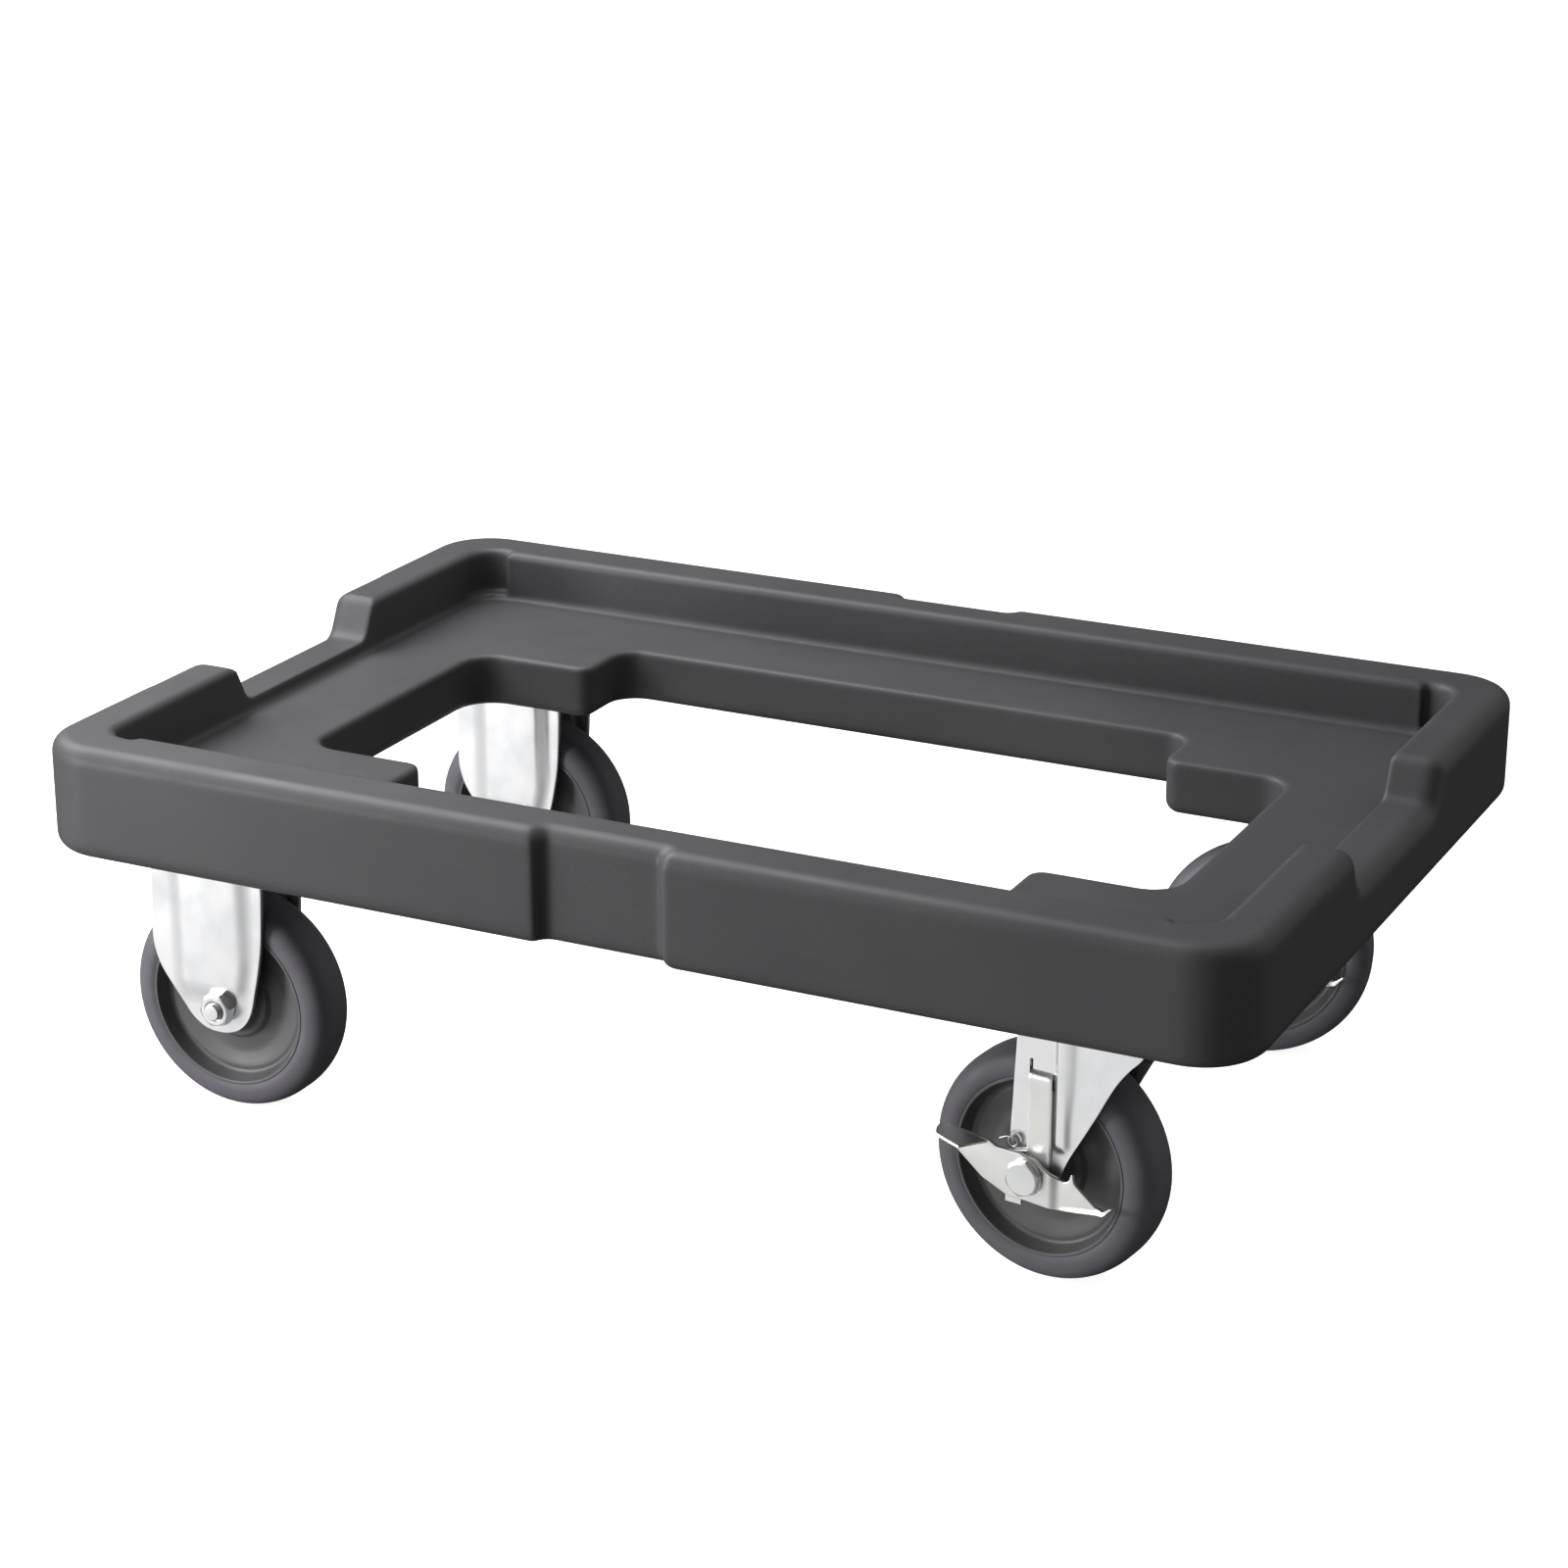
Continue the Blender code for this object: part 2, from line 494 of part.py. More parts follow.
def brake(root, axle, label):
    """Foot pedal on the axle bolt, and the strap whose toe presses on the tread."""
    flat = [(-13.9, 44.0, 1), (-5.0, 44.0, 1), (-5.0, 50.5, 0.6), (STRAP_X1, 50.5, 2),
            (STRAP_X1, 114.8, 0.5), (STRAP_X0, 114.8, 0.5), (STRAP_X0, 74.0, 3),
            (-13.9, 71.0, 3)]
    flat = [(x - TRAIL, z, r) for x, z, r in flat]
    inner = STRAP_IN
    strap = add_object(f"brake_strap_{label}",
                       stack("strap", flat, [(inner, 0), (inner + STRAP_T, 0)], 3,
                             upright=True), ZINC, root)
    # middle of the bent end, as (y, z)
    path = [(inner + 1.0, 112.0), (inner + 1.0, 115.0), (21.2, 118.3), (18.9, 121.6),
            (17.2, 124.6), (15.5, 127.2), (12.8, 129.3), (3.0, 129.4)]
    rows = [[(STRAP_X0 + 0.001 - TRAIL, -y, z), (STRAP_X1 - 0.001 - TRAIL, -y, z)]
            for y, z in path]
    mesh, thickness = sheet("strap_toe", rows, STRAP_T - 0.01, 30)
    toe = add_object("strap_toe", mesh, None, root)
    solidify(toe, thickness, 0.0)
    boolean(strap, toe, "UNION")
    hole = stack("strap_hole", rectangle(-AXLE_R - 0.5 - TRAIL, WHEEL_R - AXLE_R - 0.5,
                                         AXLE_R + 0.5 - TRAIL,
                                         WHEEL_R + AXLE_R + 0.5 + BRAKE_TRAVEL, 5.4),
                 [(19, 0), (26, 0)], 4, upright=True)
    boolean(strap, add_object("strap_hole", hole, None, root))

    pedal = add_object(f"brake_pedal_{label}",
                       stack("pedal", PEDAL_OUTLINE, [(PEDAL_IN, 0), (PEDAL_OUT, 0)], 2,
                             upright=True), ZINC, axle)
    cam = cylinder("cam", 9.4, -PEDAL_IN - 0.5, -inner - STRAP_T - GAP, 20, "Y")
    boolean(pedal, add_object("cam", cam, None, axle), "UNION")
    pad = [[(-50.2, -27.3, 16.6), (-22.0, -27.3, 13.4)],
           [(-46.7, -40.0, 17.0), (-31.0, -44.0, 14.8)]]
    mesh, thickness = sheet("foot_pad", pad, 2.2)
    tool = add_object("foot_pad", mesh, None, axle)
    solidify(tool, thickness, 0.0)
    boolean(pedal, tool, "UNION")
    lip = [[(39.0, -27.0, -9.6), (46.0, -27.0, -6.4)],
           [(41.5, -33.0, -8.8), (47.6, -32.4, -4.6)]]
    mesh, thickness = sheet("release_lip", lip, 2.0)
    tool = add_object("release_lip", mesh, None, axle)
    solidify(tool, thickness, 0.0)
    boolean(pedal, tool, "UNION")
    bore = cylinder("pedal_hole", AXLE_R + 0.3, -40, -20, 20, "Y")
    boolean(pedal, add_object("pedal_hole", bore, None, axle))

    curve = bpy.data.curves.new("brake_spring", "CURVE")
    curve.dimensions = "3D"
    curve.bevel_depth = 0.22 * MM
    curve.bevel_resolution = 0
    curve.use_fill_caps = True
    spline = curve.splines.new("POLY")
    turns, per_turn = 3, 8
    spline.points.add(turns * per_turn)
    for i, point in enumerate(spline.points):
        angle = 2 * math.pi * i / per_turn
        point.co = (2.7 * math.cos(angle) * MM, (-22.2 - 0.58 * i / per_turn) * MM,
                    2.7 * math.sin(angle) * MM, 1.0)
    spring = add_object(f"brake_spring_{label}", curve, STEEL, axle, (-9.8, 0, 15.1))
    return strap, pedal, spring


def swivel_caster(label, x, y, angle):
    root = empty(f"swivel_axis_{label}", (x, y, 0), angle)
    seat = empty(f"swivel_seat_{label}", (x, y, 0))
    axle = empty(f"swivel_axle_{label}", (-TRAIL, 0, WHEEL_R), parent=root)
    swivel_head(seat, label)
    swivel_fork(root, label)
    wheel(axle, "swivel", label)
    axle_set(axle, "swivel", label, SWIVEL_LEG - LEG_T - GAP, -PEDAL_OUT - GAP, 9.4,
             31.0, SWIVEL_LEG + GAP)
    brake(root, axle, label)
    mounting_bolts(seat, f"swivel_{label}")


fixed_caster("right", -CASTER_X, -CASTER_Y)
fixed_caster("left", -CASTER_X, CASTER_Y)
swivel_caster("right", CASTER_X, -CASTER_Y, RIGHT_SWIVEL_ANGLE)
swivel_caster("left", CASTER_X, CASTER_Y, LEFT_SWIVEL_ANGLE)
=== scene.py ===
import json
import math

import bmesh
import bpy
from mathutils import Matrix, Vector


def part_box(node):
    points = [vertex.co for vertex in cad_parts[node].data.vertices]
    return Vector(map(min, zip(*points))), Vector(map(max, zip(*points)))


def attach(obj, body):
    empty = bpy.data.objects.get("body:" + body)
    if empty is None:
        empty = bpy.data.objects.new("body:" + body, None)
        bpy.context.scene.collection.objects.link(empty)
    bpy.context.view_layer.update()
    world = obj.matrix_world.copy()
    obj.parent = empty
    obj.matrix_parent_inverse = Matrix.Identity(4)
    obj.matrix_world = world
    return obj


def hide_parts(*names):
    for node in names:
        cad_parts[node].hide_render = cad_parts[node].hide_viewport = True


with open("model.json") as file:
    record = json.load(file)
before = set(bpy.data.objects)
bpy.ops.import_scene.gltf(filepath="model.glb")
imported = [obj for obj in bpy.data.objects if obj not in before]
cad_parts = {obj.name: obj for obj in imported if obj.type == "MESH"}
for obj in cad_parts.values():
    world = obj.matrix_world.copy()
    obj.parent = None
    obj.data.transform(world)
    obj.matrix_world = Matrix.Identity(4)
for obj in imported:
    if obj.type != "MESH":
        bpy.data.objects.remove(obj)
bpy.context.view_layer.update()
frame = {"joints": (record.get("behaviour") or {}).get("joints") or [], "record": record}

MM = 0.001

# ---- layout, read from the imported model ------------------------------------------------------
LOW, HIGH = (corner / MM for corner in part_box("frame"))
HALF_X, HALF_Y = HIGH.x, HIGH.y
BOTTOM, TOP = LOW.z, HIGH.z
DECK = frame["record"]["mounts"][0]["pos_m"][2] / MM
JOINTS = {joint["name"]: joint for joint in frame["joints"]}

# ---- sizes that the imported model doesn't give, as in part.py (mm) ----------------------------
GAP = 0.3                                  # air between neighbouring pieces
TRAIL = 37.0                               # swivel caster: axle behind its pivot
WHEEL_Z = 62.5
PLATE_TOP = BOTTOM - GAP
PLATE_BOTTOM = PLATE_TOP - 3.0
BOLT_X, BOLT_Y = 40.0, 30.0                # mounting holes from the plate's centre
AXLE_HOLE, PIN_HOLE, SCREW_HOLE = 5.3, 5.5, 4.4  # radii
LEG_SHEET = 2.5
SHARP = 38                                 # degrees from which an edge is drawn sharp
SIDES = ("right", "left")


def place(kind, side):
    """Matrix of a caster's own frame: origin on the floor under its axle, +X forward."""
    spin = JOINTS[f"{kind}_wheel_spin_{side}"]
    x, y, _ = spin["pos_m"]
    ax, ay, _ = spin["axis"]
    return Matrix.Translation((x, y, 0)) @ Matrix.Rotation(math.atan2(-ax, ay), 4, "Z")


# ---- shape tools (millimetres in, metres out) ------------------------------------------------
def finish_mesh(name, bm, sharp=SHARP):
    """New mesh from bm, in metres, smooth apart from its sharp edges."""
    bmesh.ops.recalc_face_normals(bm, faces=bm.faces[:])
    bmesh.ops.scale(bm, vec=(MM, MM, MM), verts=bm.verts[:])
    mesh = bpy.data.meshes.new(name)
    bm.to_mesh(mesh)
    bm.free()
    mesh.shade_smooth()
    if sharp:
        mesh.set_sharp_from_angle(angle=math.radians(sharp))
    return mesh


def rounded_outline(corners, offset=0.0, steps=6, closed=True):
    """(x, y, radius) corners moved outward by offset, as a rounded outline."""
    points = []
    count = len(corners)
    for i, (x, y, radius) in enumerate(corners):
        here = Vector((x, y))
        if not closed and i in (0, count - 1):
            points.append(here)
            continue
        before = (here - Vector(corners[i - 1][:2])).normalized()
        after = (Vector(corners[(i + 1) % count][:2]) - here).normalized()
        turn = math.atan2(before.x * after.y - before.y * after.x, before.dot(after))
        out = Vector((before.y, -before.x)) + Vector((after.y, -after.x))
        corner = here + out * (offset / (1.0 + before.dot(after)))
        if radius <= 0 or abs(turn) < 0.02:
            points.append(corner)
            continue
        side = 1 if turn > 0 else -1
        arc = max(radius + side * offset, 0.15)
        reach = arc * math.tan(abs(turn) / 2)
        start = corner - before * reach
        centre = start + Vector((-before.y, before.x)) * arc * side
        pieces = max(2, math.ceil(steps * min(1.0, abs(turn) / 1.2)))
        for k in range(pieces + 1):
            points.append(centre + Matrix.Rotation(turn * k / pieces, 2) @ (start - centre))
    return points


def bridge(bm, rings):
    """Quads between each ring of points and the next."""
    for low, high in zip(rings, rings[1:]):
        for i in range(len(low)):
            j = (i + 1) % len(low)
            bm.faces.new((low[i], low[j], high[j], high[i]))


def stack(name, corners, levels, steps=6, upright=False, sharp=SHARP):
    """Loft of a rounded outline through (height, offset) levels; upright ones run to -Y."""
    bm = bmesh.new()
    rings = []
    for height, offset in levels:
        outline = rounded_outline(corners, offset, steps)
        rings.append([bm.verts.new((p.x, p.y, height)) for p in outline])
    bridge(bm, rings)
    bm.faces.new(rings[0][::-1])
    bm.faces.new(rings[-1])
    if upright:
        bmesh.ops.rotate(bm, matrix=Matrix.Rotation(math.pi / 2, 3, "X"), verts=bm.verts[:])
    return finish_mesh(name, bm, sharp)


def stand(bm, axis, centre):
    """Turn bm's own Z onto -Y if that's its axis, then move it to centre across the axis."""
    if axis == "Y":
        bmesh.ops.rotate(bm, matrix=Matrix.Rotation(math.pi / 2, 3, "X"), verts=bm.verts[:])
        bmesh.ops.translate(bm, vec=(centre[0], 0, centre[1]), verts=bm.verts[:])
    else:
        bmesh.ops.translate(bm, vec=(centre[0], centre[1], 0), verts=bm.verts[:])


def rectangle(x0, y0, x1, y1, radius):
    return [(x0, y0, radius), (x1, y0, radius), (x1, y1, radius), (x0, y1, radius)]


def edge_levels(z0, z1, radius, steps=3):
    """Levels of a slab with rounded lower and upper edges."""
    low, high = [], []
    for k in range(steps + 1):
        angle = math.pi / 2 * k / steps
        inset = radius * (1 - math.sin(angle))
        rise = radius * (1 - math.cos(angle))
        low.append((z0 + rise, -inset))
        high.append((z1 - rise, -inset))
    return low + high[::-1]


def flare(z, radius, steps=8, up=1):
    """Levels that open a cutter outward by radius on reaching height z."""
    return [(z - up * radius * (1 - math.sin(a)), radius * (1 - math.cos(a)))
            for a in (math.pi / 2 * k / steps for k in range(steps + 1))]


def lathe(name, corners, segments=96, steps=5, axis="Y", closed=True, sharp=SHARP):
    """(radius, height, rounding) corners turned about the axis; open ones end on it."""
    profile = rounded_outline(corners, 0.0, steps, closed)
    bm = bmesh.new()
    rings = []
    for p in profile:
        if p.x < 1e-6:
            rings.append([bm.verts.new((0, 0, p.y))])
            continue
        rings.append([bm.verts.new((p.x * math.cos(t), p.x * math.sin(t), p.y))
                      for t in (2 * math.pi * k / segments for k in range(segments))])
    pairs = list(zip(rings, rings[1:])) + ([(rings[-1], rings[0])] if closed else [])
    for a, b in pairs:
        for i in range(segments):
            j = (i + 1) % segments
            if len(a) == 1:
                bm.faces.new((a[0], b[i], b[j]))
            elif len(b) == 1:
                bm.faces.new((a[i], a[j], b[0]))
            else:
                bm.faces.new((a[i], a[j], b[j], b[i]))
    if axis == "Y":
        bmesh.ops.rotate(bm, matrix=Matrix.Rotation(math.pi / 2, 3, "X"), verts=bm.verts[:])
        bmesh.ops.translate(bm, vec=(0, 0, WHEEL_Z), verts=bm.verts[:])
    return finish_mesh(name, bm, sharp)


def hexagon(name, flats, z0, z1, bore=0.0, crown=0.93, both=False, axis="Z", centre=(0, 0),
            turn=0.0, segments=72):
    """Hexagon head or nut whose corners are cut back by the turned chamfer."""
    apothem = flats / 2
    rim = apothem * crown
    slope, dome = 0.55, 0.12               # of the chamfer, and the top above it

    def spread(k):
        angle = 2 * math.pi * k / segments
        return apothem / math.cos((angle % (math.pi / 3)) - math.pi / 6)

    def ring(radius, height):
        return [bm.verts.new((radius(k) * math.cos(2 * math.pi * k / segments),
                              radius(k) * math.sin(2 * math.pi * k / segments), height(k)))
                for k in range(segments)]

    def drop(k):
        return (spread(k) - rim) * slope

    bm = bmesh.new()
    rings = []
    if both:
        rings.append(ring(lambda k: rim, lambda k: z0))
        rings.append(ring(spread, lambda k: z0 + drop(k)))
    else:
        rings.append(ring(spread, lambda k: z0))
    rings.append(ring(spread, lambda k: z1 - drop(k)))
    rings.append(ring(lambda k: rim, lambda k: z1))
    rings.append(ring(lambda k: rim * 0.97, lambda k: z1 + dome))
    if bore:
        rings.append(ring(lambda k: bore + 1.1, lambda k: z1 + dome))
        rings.append(ring(lambda k: bore, lambda k: z1 - 1.2))
        rings.append(ring(lambda k: bore, lambda k: z0 + 0.6))
        rings.append(ring(lambda k: bore + 0.7, lambda k: z0))
        bridge(bm, rings)
        bridge(bm, [rings[-1], rings[0]])
    else:
        bridge(bm, rings)
        bm.faces.new(rings[-1])
        bm.faces.new(rings[0][::-1])
    bmesh.ops.rotate(bm, matrix=Matrix.Rotation(turn, 3, "Z"), verts=bm.verts[:])
    stand(bm, axis, centre)
    return finish_mesh(name, bm, 25)


def smooth_step(value, low, high):
    """0 up to low, 1 from high, and a smooth ramp between them."""
    t = min(max((value - low) / (high - low), 0.0), 1.0)
    return t * t * (3 - 2 * t)


def curve_through(table, z):
    """Smooth interpolation of (z, a, b) rows, the rows sorted by falling z."""
    rows = table[::-1]
    for i in range(len(rows) - 1):
        z0, z1 = rows[i][0], rows[i + 1][0]
        if z <= z1 or i == len(rows) - 2:
            t = min(max((z - z0) / (z1 - z0), 0.0), 1.0)
            out = []
            for c in (1, 2):
                p1, p2 = rows[i][c], rows[i + 1][c]
                before = rows[i - 1] if i else None
                after = rows[i + 2] if i + 2 < len(rows) else None
                m1 = (p2 - before[c]) / (z1 - before[0]) * (z1 - z0) if before else p2 - p1
                m2 = (after[c] - p1) / (after[0] - z0) * (z1 - z0) if after else p2 - p1
                h = t * t * (3 - 2 * t)
                out.append((1 - h) * p1 + h * p2 + (t ** 3 - 2 * t * t + t) * m1
                           + (t ** 3 - t * t) * m2)
            return out


def sheet(name, outer, inner, sharp=50):
    """Closed sheet between two grids of points of the same size."""
    bm = bmesh.new()
    top = [[bm.verts.new(p) for p in row] for row in outer]
    low = [[bm.verts.new(p) for p in row] for row in inner]
    for grid, flip in ((top, False), (low, True)):
        for a, b in zip(grid, grid[1:]):
            for i in range(len(a) - 1):
                face = (a[i], a[i + 1], b[i + 1], b[i])
                bm.faces.new(face[::-1] if flip else face)
    bridge(bm, [grid[0] + [row[-1] for row in grid[1:]] + grid[-1][-2::-1]
                + [row[0] for row in grid[-2:0:-1]] for grid in (low, top)])
    return finish_mesh(name, bm, sharp)


def bake(obj):
    """Modifiers applied, so that the mesh is final."""
    graph = bpy.context.evaluated_depsgraph_get()
    mesh = bpy.data.meshes.new_from_object(obj.evaluated_get(graph))
    obj.modifiers.clear()
    obj.data = mesh
    return mesh


def scratch(name, mesh):
    """Throwaway object, for modifiers."""
    obj = bpy.data.objects.new(name, mesh)
    bpy.context.scene.collection.objects.link(obj)
    return obj


def discard(objects):
    for obj in objects:
        bpy.data.objects.remove(obj, do_unlink=True)


def add_booleans(body, tools, operation="DIFFERENCE"):
    """Exact boolean modifiers on body; returns the objects that they need."""
    made = []
    for tool in tools:
        other = scratch("tool", tool)
        made.append(other)
        mod = body.modifiers.new("Boolean", "BOOLEAN")
        mod.operation, mod.solver, mod.object = operation, "EXACT", other
    return made


def cut(mesh, tools, bevel=0.0, operation="DIFFERENCE", segments=2, angle=40):
    """Mesh after exact booleans with the tool meshes, its sharp edges rounded by bevel."""
    body = scratch(mesh.name, mesh)
    made = add_booleans(body, tools, operation)
    if bevel:
        mod = body.modifiers.new("Bevel", "BEVEL")
        mod.width, mod.segments, mod.limit_method = bevel * MM, segments, "ANGLE"
        mod.angle_limit = math.radians(angle)
        mod.use_clamp_overlap = True
    out = bake(body)
    out.shade_smooth()
    out.set_sharp_from_angle(angle=math.radians(SHARP))
    discard(made + [body])
    return out


def rod(radius, z0, z1, centre=(0, 0), axis="Z", segments=48):
    """Plain cutter cylinder."""
    bm = bmesh.new()
    bmesh.ops.create_cone(bm, cap_ends=True, segments=segments, radius1=radius,
                          radius2=radius, depth=z1 - z0,
                          matrix=Matrix.Translation((0, 0, (z0 + z1) / 2)))
    stand(bm, axis, centre)
    return finish_mesh("rod", bm, 30)


def join(name, *meshes):
    """One mesh of several, each with its own smooth and sharp edges."""
    bm = bmesh.new()
    for mesh in meshes:
        bm.from_mesh(mesh)
    out = bpy.data.meshes.new(name)
    bm.to_mesh(out)
    bm.free()
    return out


def mirror_y(mesh):
    """Mirror image of a mesh across its wheel plane."""
    bm = bmesh.new()
    bm.from_mesh(mesh)
    bmesh.ops.scale(bm, vec=(1, -1, 1), verts=bm.verts[:])
    bmesh.ops.reverse_faces(bm, faces=bm.faces[:])
    out = bpy.data.meshes.new(mesh.name)
    bm.to_mesh(out)
    bm.free()
    return out


def piece(name, mesh, mat, body, nodes, matrix=Matrix.Identity(4)):
    """A visible piece on its body, standing for its CAD nodes."""
    obj = bpy.data.objects.new(name, mesh)
    bpy.context.scene.collection.objects.link(obj)
    obj.matrix_world = matrix
    if obj.type == "CURVE":
        obj.data.materials.append(mat)
    else:
        mesh.materials.clear()
        mesh.materials.append(mat)
    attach(obj, body)
    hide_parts(*([nodes] if isinstance(nodes, str) else nodes))
    return obj


# ---- materials -------------------------------------------------------------------------------
class Surface:
    """A Principled material with helpers for its procedural detail."""

    def __init__(self, name, **sockets):
        self.mat = bpy.data.materials.new(name)
        self.mat.use_nodes = True
        self.nodes, self.links = self.mat.node_tree.nodes, self.mat.node_tree.links
        self.shader = self.nodes["Principled BSDF"]
        for key, value in sockets.items():
            self.shader.inputs[key.replace("_", " ")].default_value = value
        self.coord = self.nodes.new("ShaderNodeTexCoord")
        self.height = None

    def noise(self, scale, detail=4.0, rough=0.55, stretch=None, distortion=0.0):
        """Noise in the object's own space; scale is in features for each metre."""
        node = self.nodes.new("ShaderNodeTexNoise")
        node.inputs["Scale"].default_value = scale
        node.inputs["Detail"].default_value = detail
        node.inputs["Roughness"].default_value = rough
        node.inputs["Distortion"].default_value = distortion
        source = self.coord.outputs["Object"]
        if stretch:
            mapping = self.nodes.new("ShaderNodeMapping")
            mapping.inputs["Scale"].default_value = stretch
            self.links.new(source, mapping.inputs["Vector"])
            source = mapping.outputs["Vector"]
        self.links.new(source, node.inputs["Vector"])
        return node.outputs["Fac"]

    def ramp(self, source, *stops):
        """Colour ramp through (position, colour) stops."""
        node = self.nodes.new("ShaderNodeValToRGB")
        elements = node.color_ramp.elements
        while len(elements) < len(stops):
            elements.new(0.5)
        for element, (position, color) in zip(elements, stops):
            element.position = position
            element.color = (*color, 1.0)
        self.links.new(source, node.inputs["Fac"])
        return node.outputs["Color"]

    def levels(self, source, low, high, to_low, to_high):
        """Source mapped from low..high to to_low..to_high."""
        node = self.nodes.new("ShaderNodeMapRange")
        for key, value in (("From Min", low), ("From Max", high), ("To Min", to_low),
                           ("To Max", to_high)):
            node.inputs[key].default_value = value
        self.links.new(source, node.inputs["Value"])
        return node.outputs["Result"]

    def mix(self, factor, one, two, blend="MIX"):
        """Colour mix; each argument is a socket or a value."""
        node = self.nodes.new("ShaderNodeMix")
        node.data_type, node.blend_type = "RGBA", blend
        colours = [s for s in node.inputs if s.type == "RGBA"]
        for socket, value in ((node.inputs[0], factor), (colours[0], one), (colours[1], two)):
            if isinstance(value, bpy.types.NodeSocket):
                self.links.new(value, socket)
            elif socket.type == "RGBA":
                socket.default_value = (*value, 1.0)
            else:
                socket.default_value = value
        return [s for s in node.outputs if s.type == "RGBA"][0]

    def edges(self, low, high):
        """1 on convex edges, from the curvature of the mesh."""
        geometry = self.nodes.new("ShaderNodeNewGeometry")
        return self.levels(geometry.outputs["Pointiness"], low, high, 0.0, 1.0)

    def color(self, source):
        self.links.new(source, self.shader.inputs["Base Color"])

    def roughness(self, source):
        self.links.new(source, self.shader.inputs["Roughness"])

    def bump(self, source, strength, distance):
        """One more layer of bump, over those already there."""
        node = self.nodes.new("ShaderNodeBump")
        node.inputs["Strength"].default_value = strength
        node.inputs["Distance"].default_value = distance
        self.links.new(source, node.inputs["Height"])
        if self.height:
            self.links.new(self.height, node.inputs["Normal"])
        self.height = node.outputs["Normal"]
        self.links.new(self.height, self.shader.inputs["Normal"])


def grey(value):
    return (value, value, value)


def plastic_frame():
    """Dark grey polyethylene: fine moulded grain, faint scuffs, and edges made paler by wear and
    by a painted highlight.
    """
    s = Surface("moulded_polyethylene", Metallic=0.0, Specular_IOR_Level=0.24)
    broad = s.noise(9.0, 3.0)
    fine = s.noise(900.0, 3.0, 0.6)
    base = s.ramp(broad, (0.30, (0.053, 0.0525, 0.056)), (0.70, (0.062, 0.0615, 0.065)))
    grain = s.ramp(fine, (0.35, grey(0.92)), (0.65, grey(1.06)))
    base = s.mix(1.0, base, grain, "MULTIPLY")
    scuff = s.ramp(s.noise(55.0, 8.0, 0.72, (1.0, 1.0, 6.0), 0.6),
                   (0.60, grey(0)), (0.78, grey(0.35)))
    base = s.mix(scuff, base, (0.085, 0.085, 0.088))
    # convex edges made paler: partly wear, partly a painted edge highlight
    edge_wear_and_highlight = s.ramp(s.edges(0.505, 0.56), (0.0, grey(0)), (1.0, grey(0.18)))
    s.color(s.mix(edge_wear_and_highlight, base, (0.095, 0.095, 0.098)))
    s.roughness(s.levels(s.noise(30.0, 6.0), 0.3, 0.7, 0.42, 0.52))
    s.bump(fine, 0.10, 0.0002)
    s.bump(s.noise(160.0, 2.0), 0.05, 0.0006)
    return s.mat


def zinc(name, tone, low, high, stretch=(1.0, 1.0, 0.05)):
    """Plated steel with roughness from low to high; stretch draws its streaks out along Z."""
    s = Surface(name, Metallic=1.0)
    patches = s.noise(38.0, 2.0, 0.5)
    streaks = s.noise(520.0, 3.0, 0.55, stretch)
    base = s.ramp(patches, (0.30, tuple(c * 0.95 for c in tone)), (0.52, tone),
                  (0.75, (tone[0] * 0.99, tone[1] * 0.98, tone[2] * 0.95)))
    thin = s.ramp(streaks, (0.30, grey(0.990)), (0.70, grey(1.005)))
    base = s.mix(1.0, base, thin, "MULTIPLY")
    grime = s.ramp(s.noise(60.0, 2.0, 0.5), (0.55, grey(0)), (0.90, grey(0.22)))
    s.color(s.mix(grime, base, tuple(c * 0.75 for c in tone)))
    s.roughness(s.levels(patches, 0.3, 0.7, low, high))
    s.bump(streaks, 0.006, 0.0001)
    s.bump(s.noise(90.0, 1.0), 0.012, 0.0003)
    return s.mat


def rubber():
    """Grey tread with a light film of dust."""
    s = Surface("grey_tread_rubber", Metallic=0.0, Specular_IOR_Level=0.35)
    mottled = s.noise(70.0, 6.0, 0.65)
    base = s.ramp(mottled, (0.3, (0.095, 0.090, 0.105)), (0.7, (0.117, 0.112, 0.128)))
    dust = s.ramp(s.noise(240.0, 8.0, 0.75), (0.58, grey(0)), (0.8, grey(0.5)))
    s.color(s.mix(dust, base, (0.150, 0.146, 0.155)))
    s.roughness(s.levels(mottled, 0.3, 0.7, 0.50, 0.66))
    s.bump(s.noise(1300.0, 3.0), 0.10, 0.00015)
    s.bump(s.noise(90.0, 2.0), 0.05, 0.0005)
    return s.mat


def core_plastic():
    s = Surface("grey_wheel_core", Metallic=0.0, Specular_IOR_Level=0.45)
    mottled = s.noise(55.0, 5.0)
    base = s.ramp(mottled, (0.3, (0.082, 0.081, 0.085)), (0.7, (0.100, 0.099, 0.103)))
    # convex edges made much paler: partly wear, partly painted highlight rings on the bead and
    # ridge
    edge_wear_and_highlight = s.ramp(s.edges(0.51, 0.60), (0.0, grey(0)), (1.0, grey(0.45)))
    s.color(s.mix(edge_wear_and_highlight, base, (0.22, 0.22, 0.225)))
    s.roughness(s.levels(mottled, 0.3, 0.7, 0.38, 0.52))
    s.bump(s.noise(1000.0, 3.0), 0.06, 0.0001)
    return s.mat


def cage_plastic():
    s = Surface("roller_cage_plastic", Metallic=0.0)
    mottled = s.noise(200.0, 4.0)
    s.color(s.ramp(mottled, (0.3, (0.045, 0.045, 0.05)), (0.7, (0.065, 0.065, 0.07))))
    s.roughness(s.levels(mottled, 0.3, 0.7, 0.4, 0.6))
    return s.mat


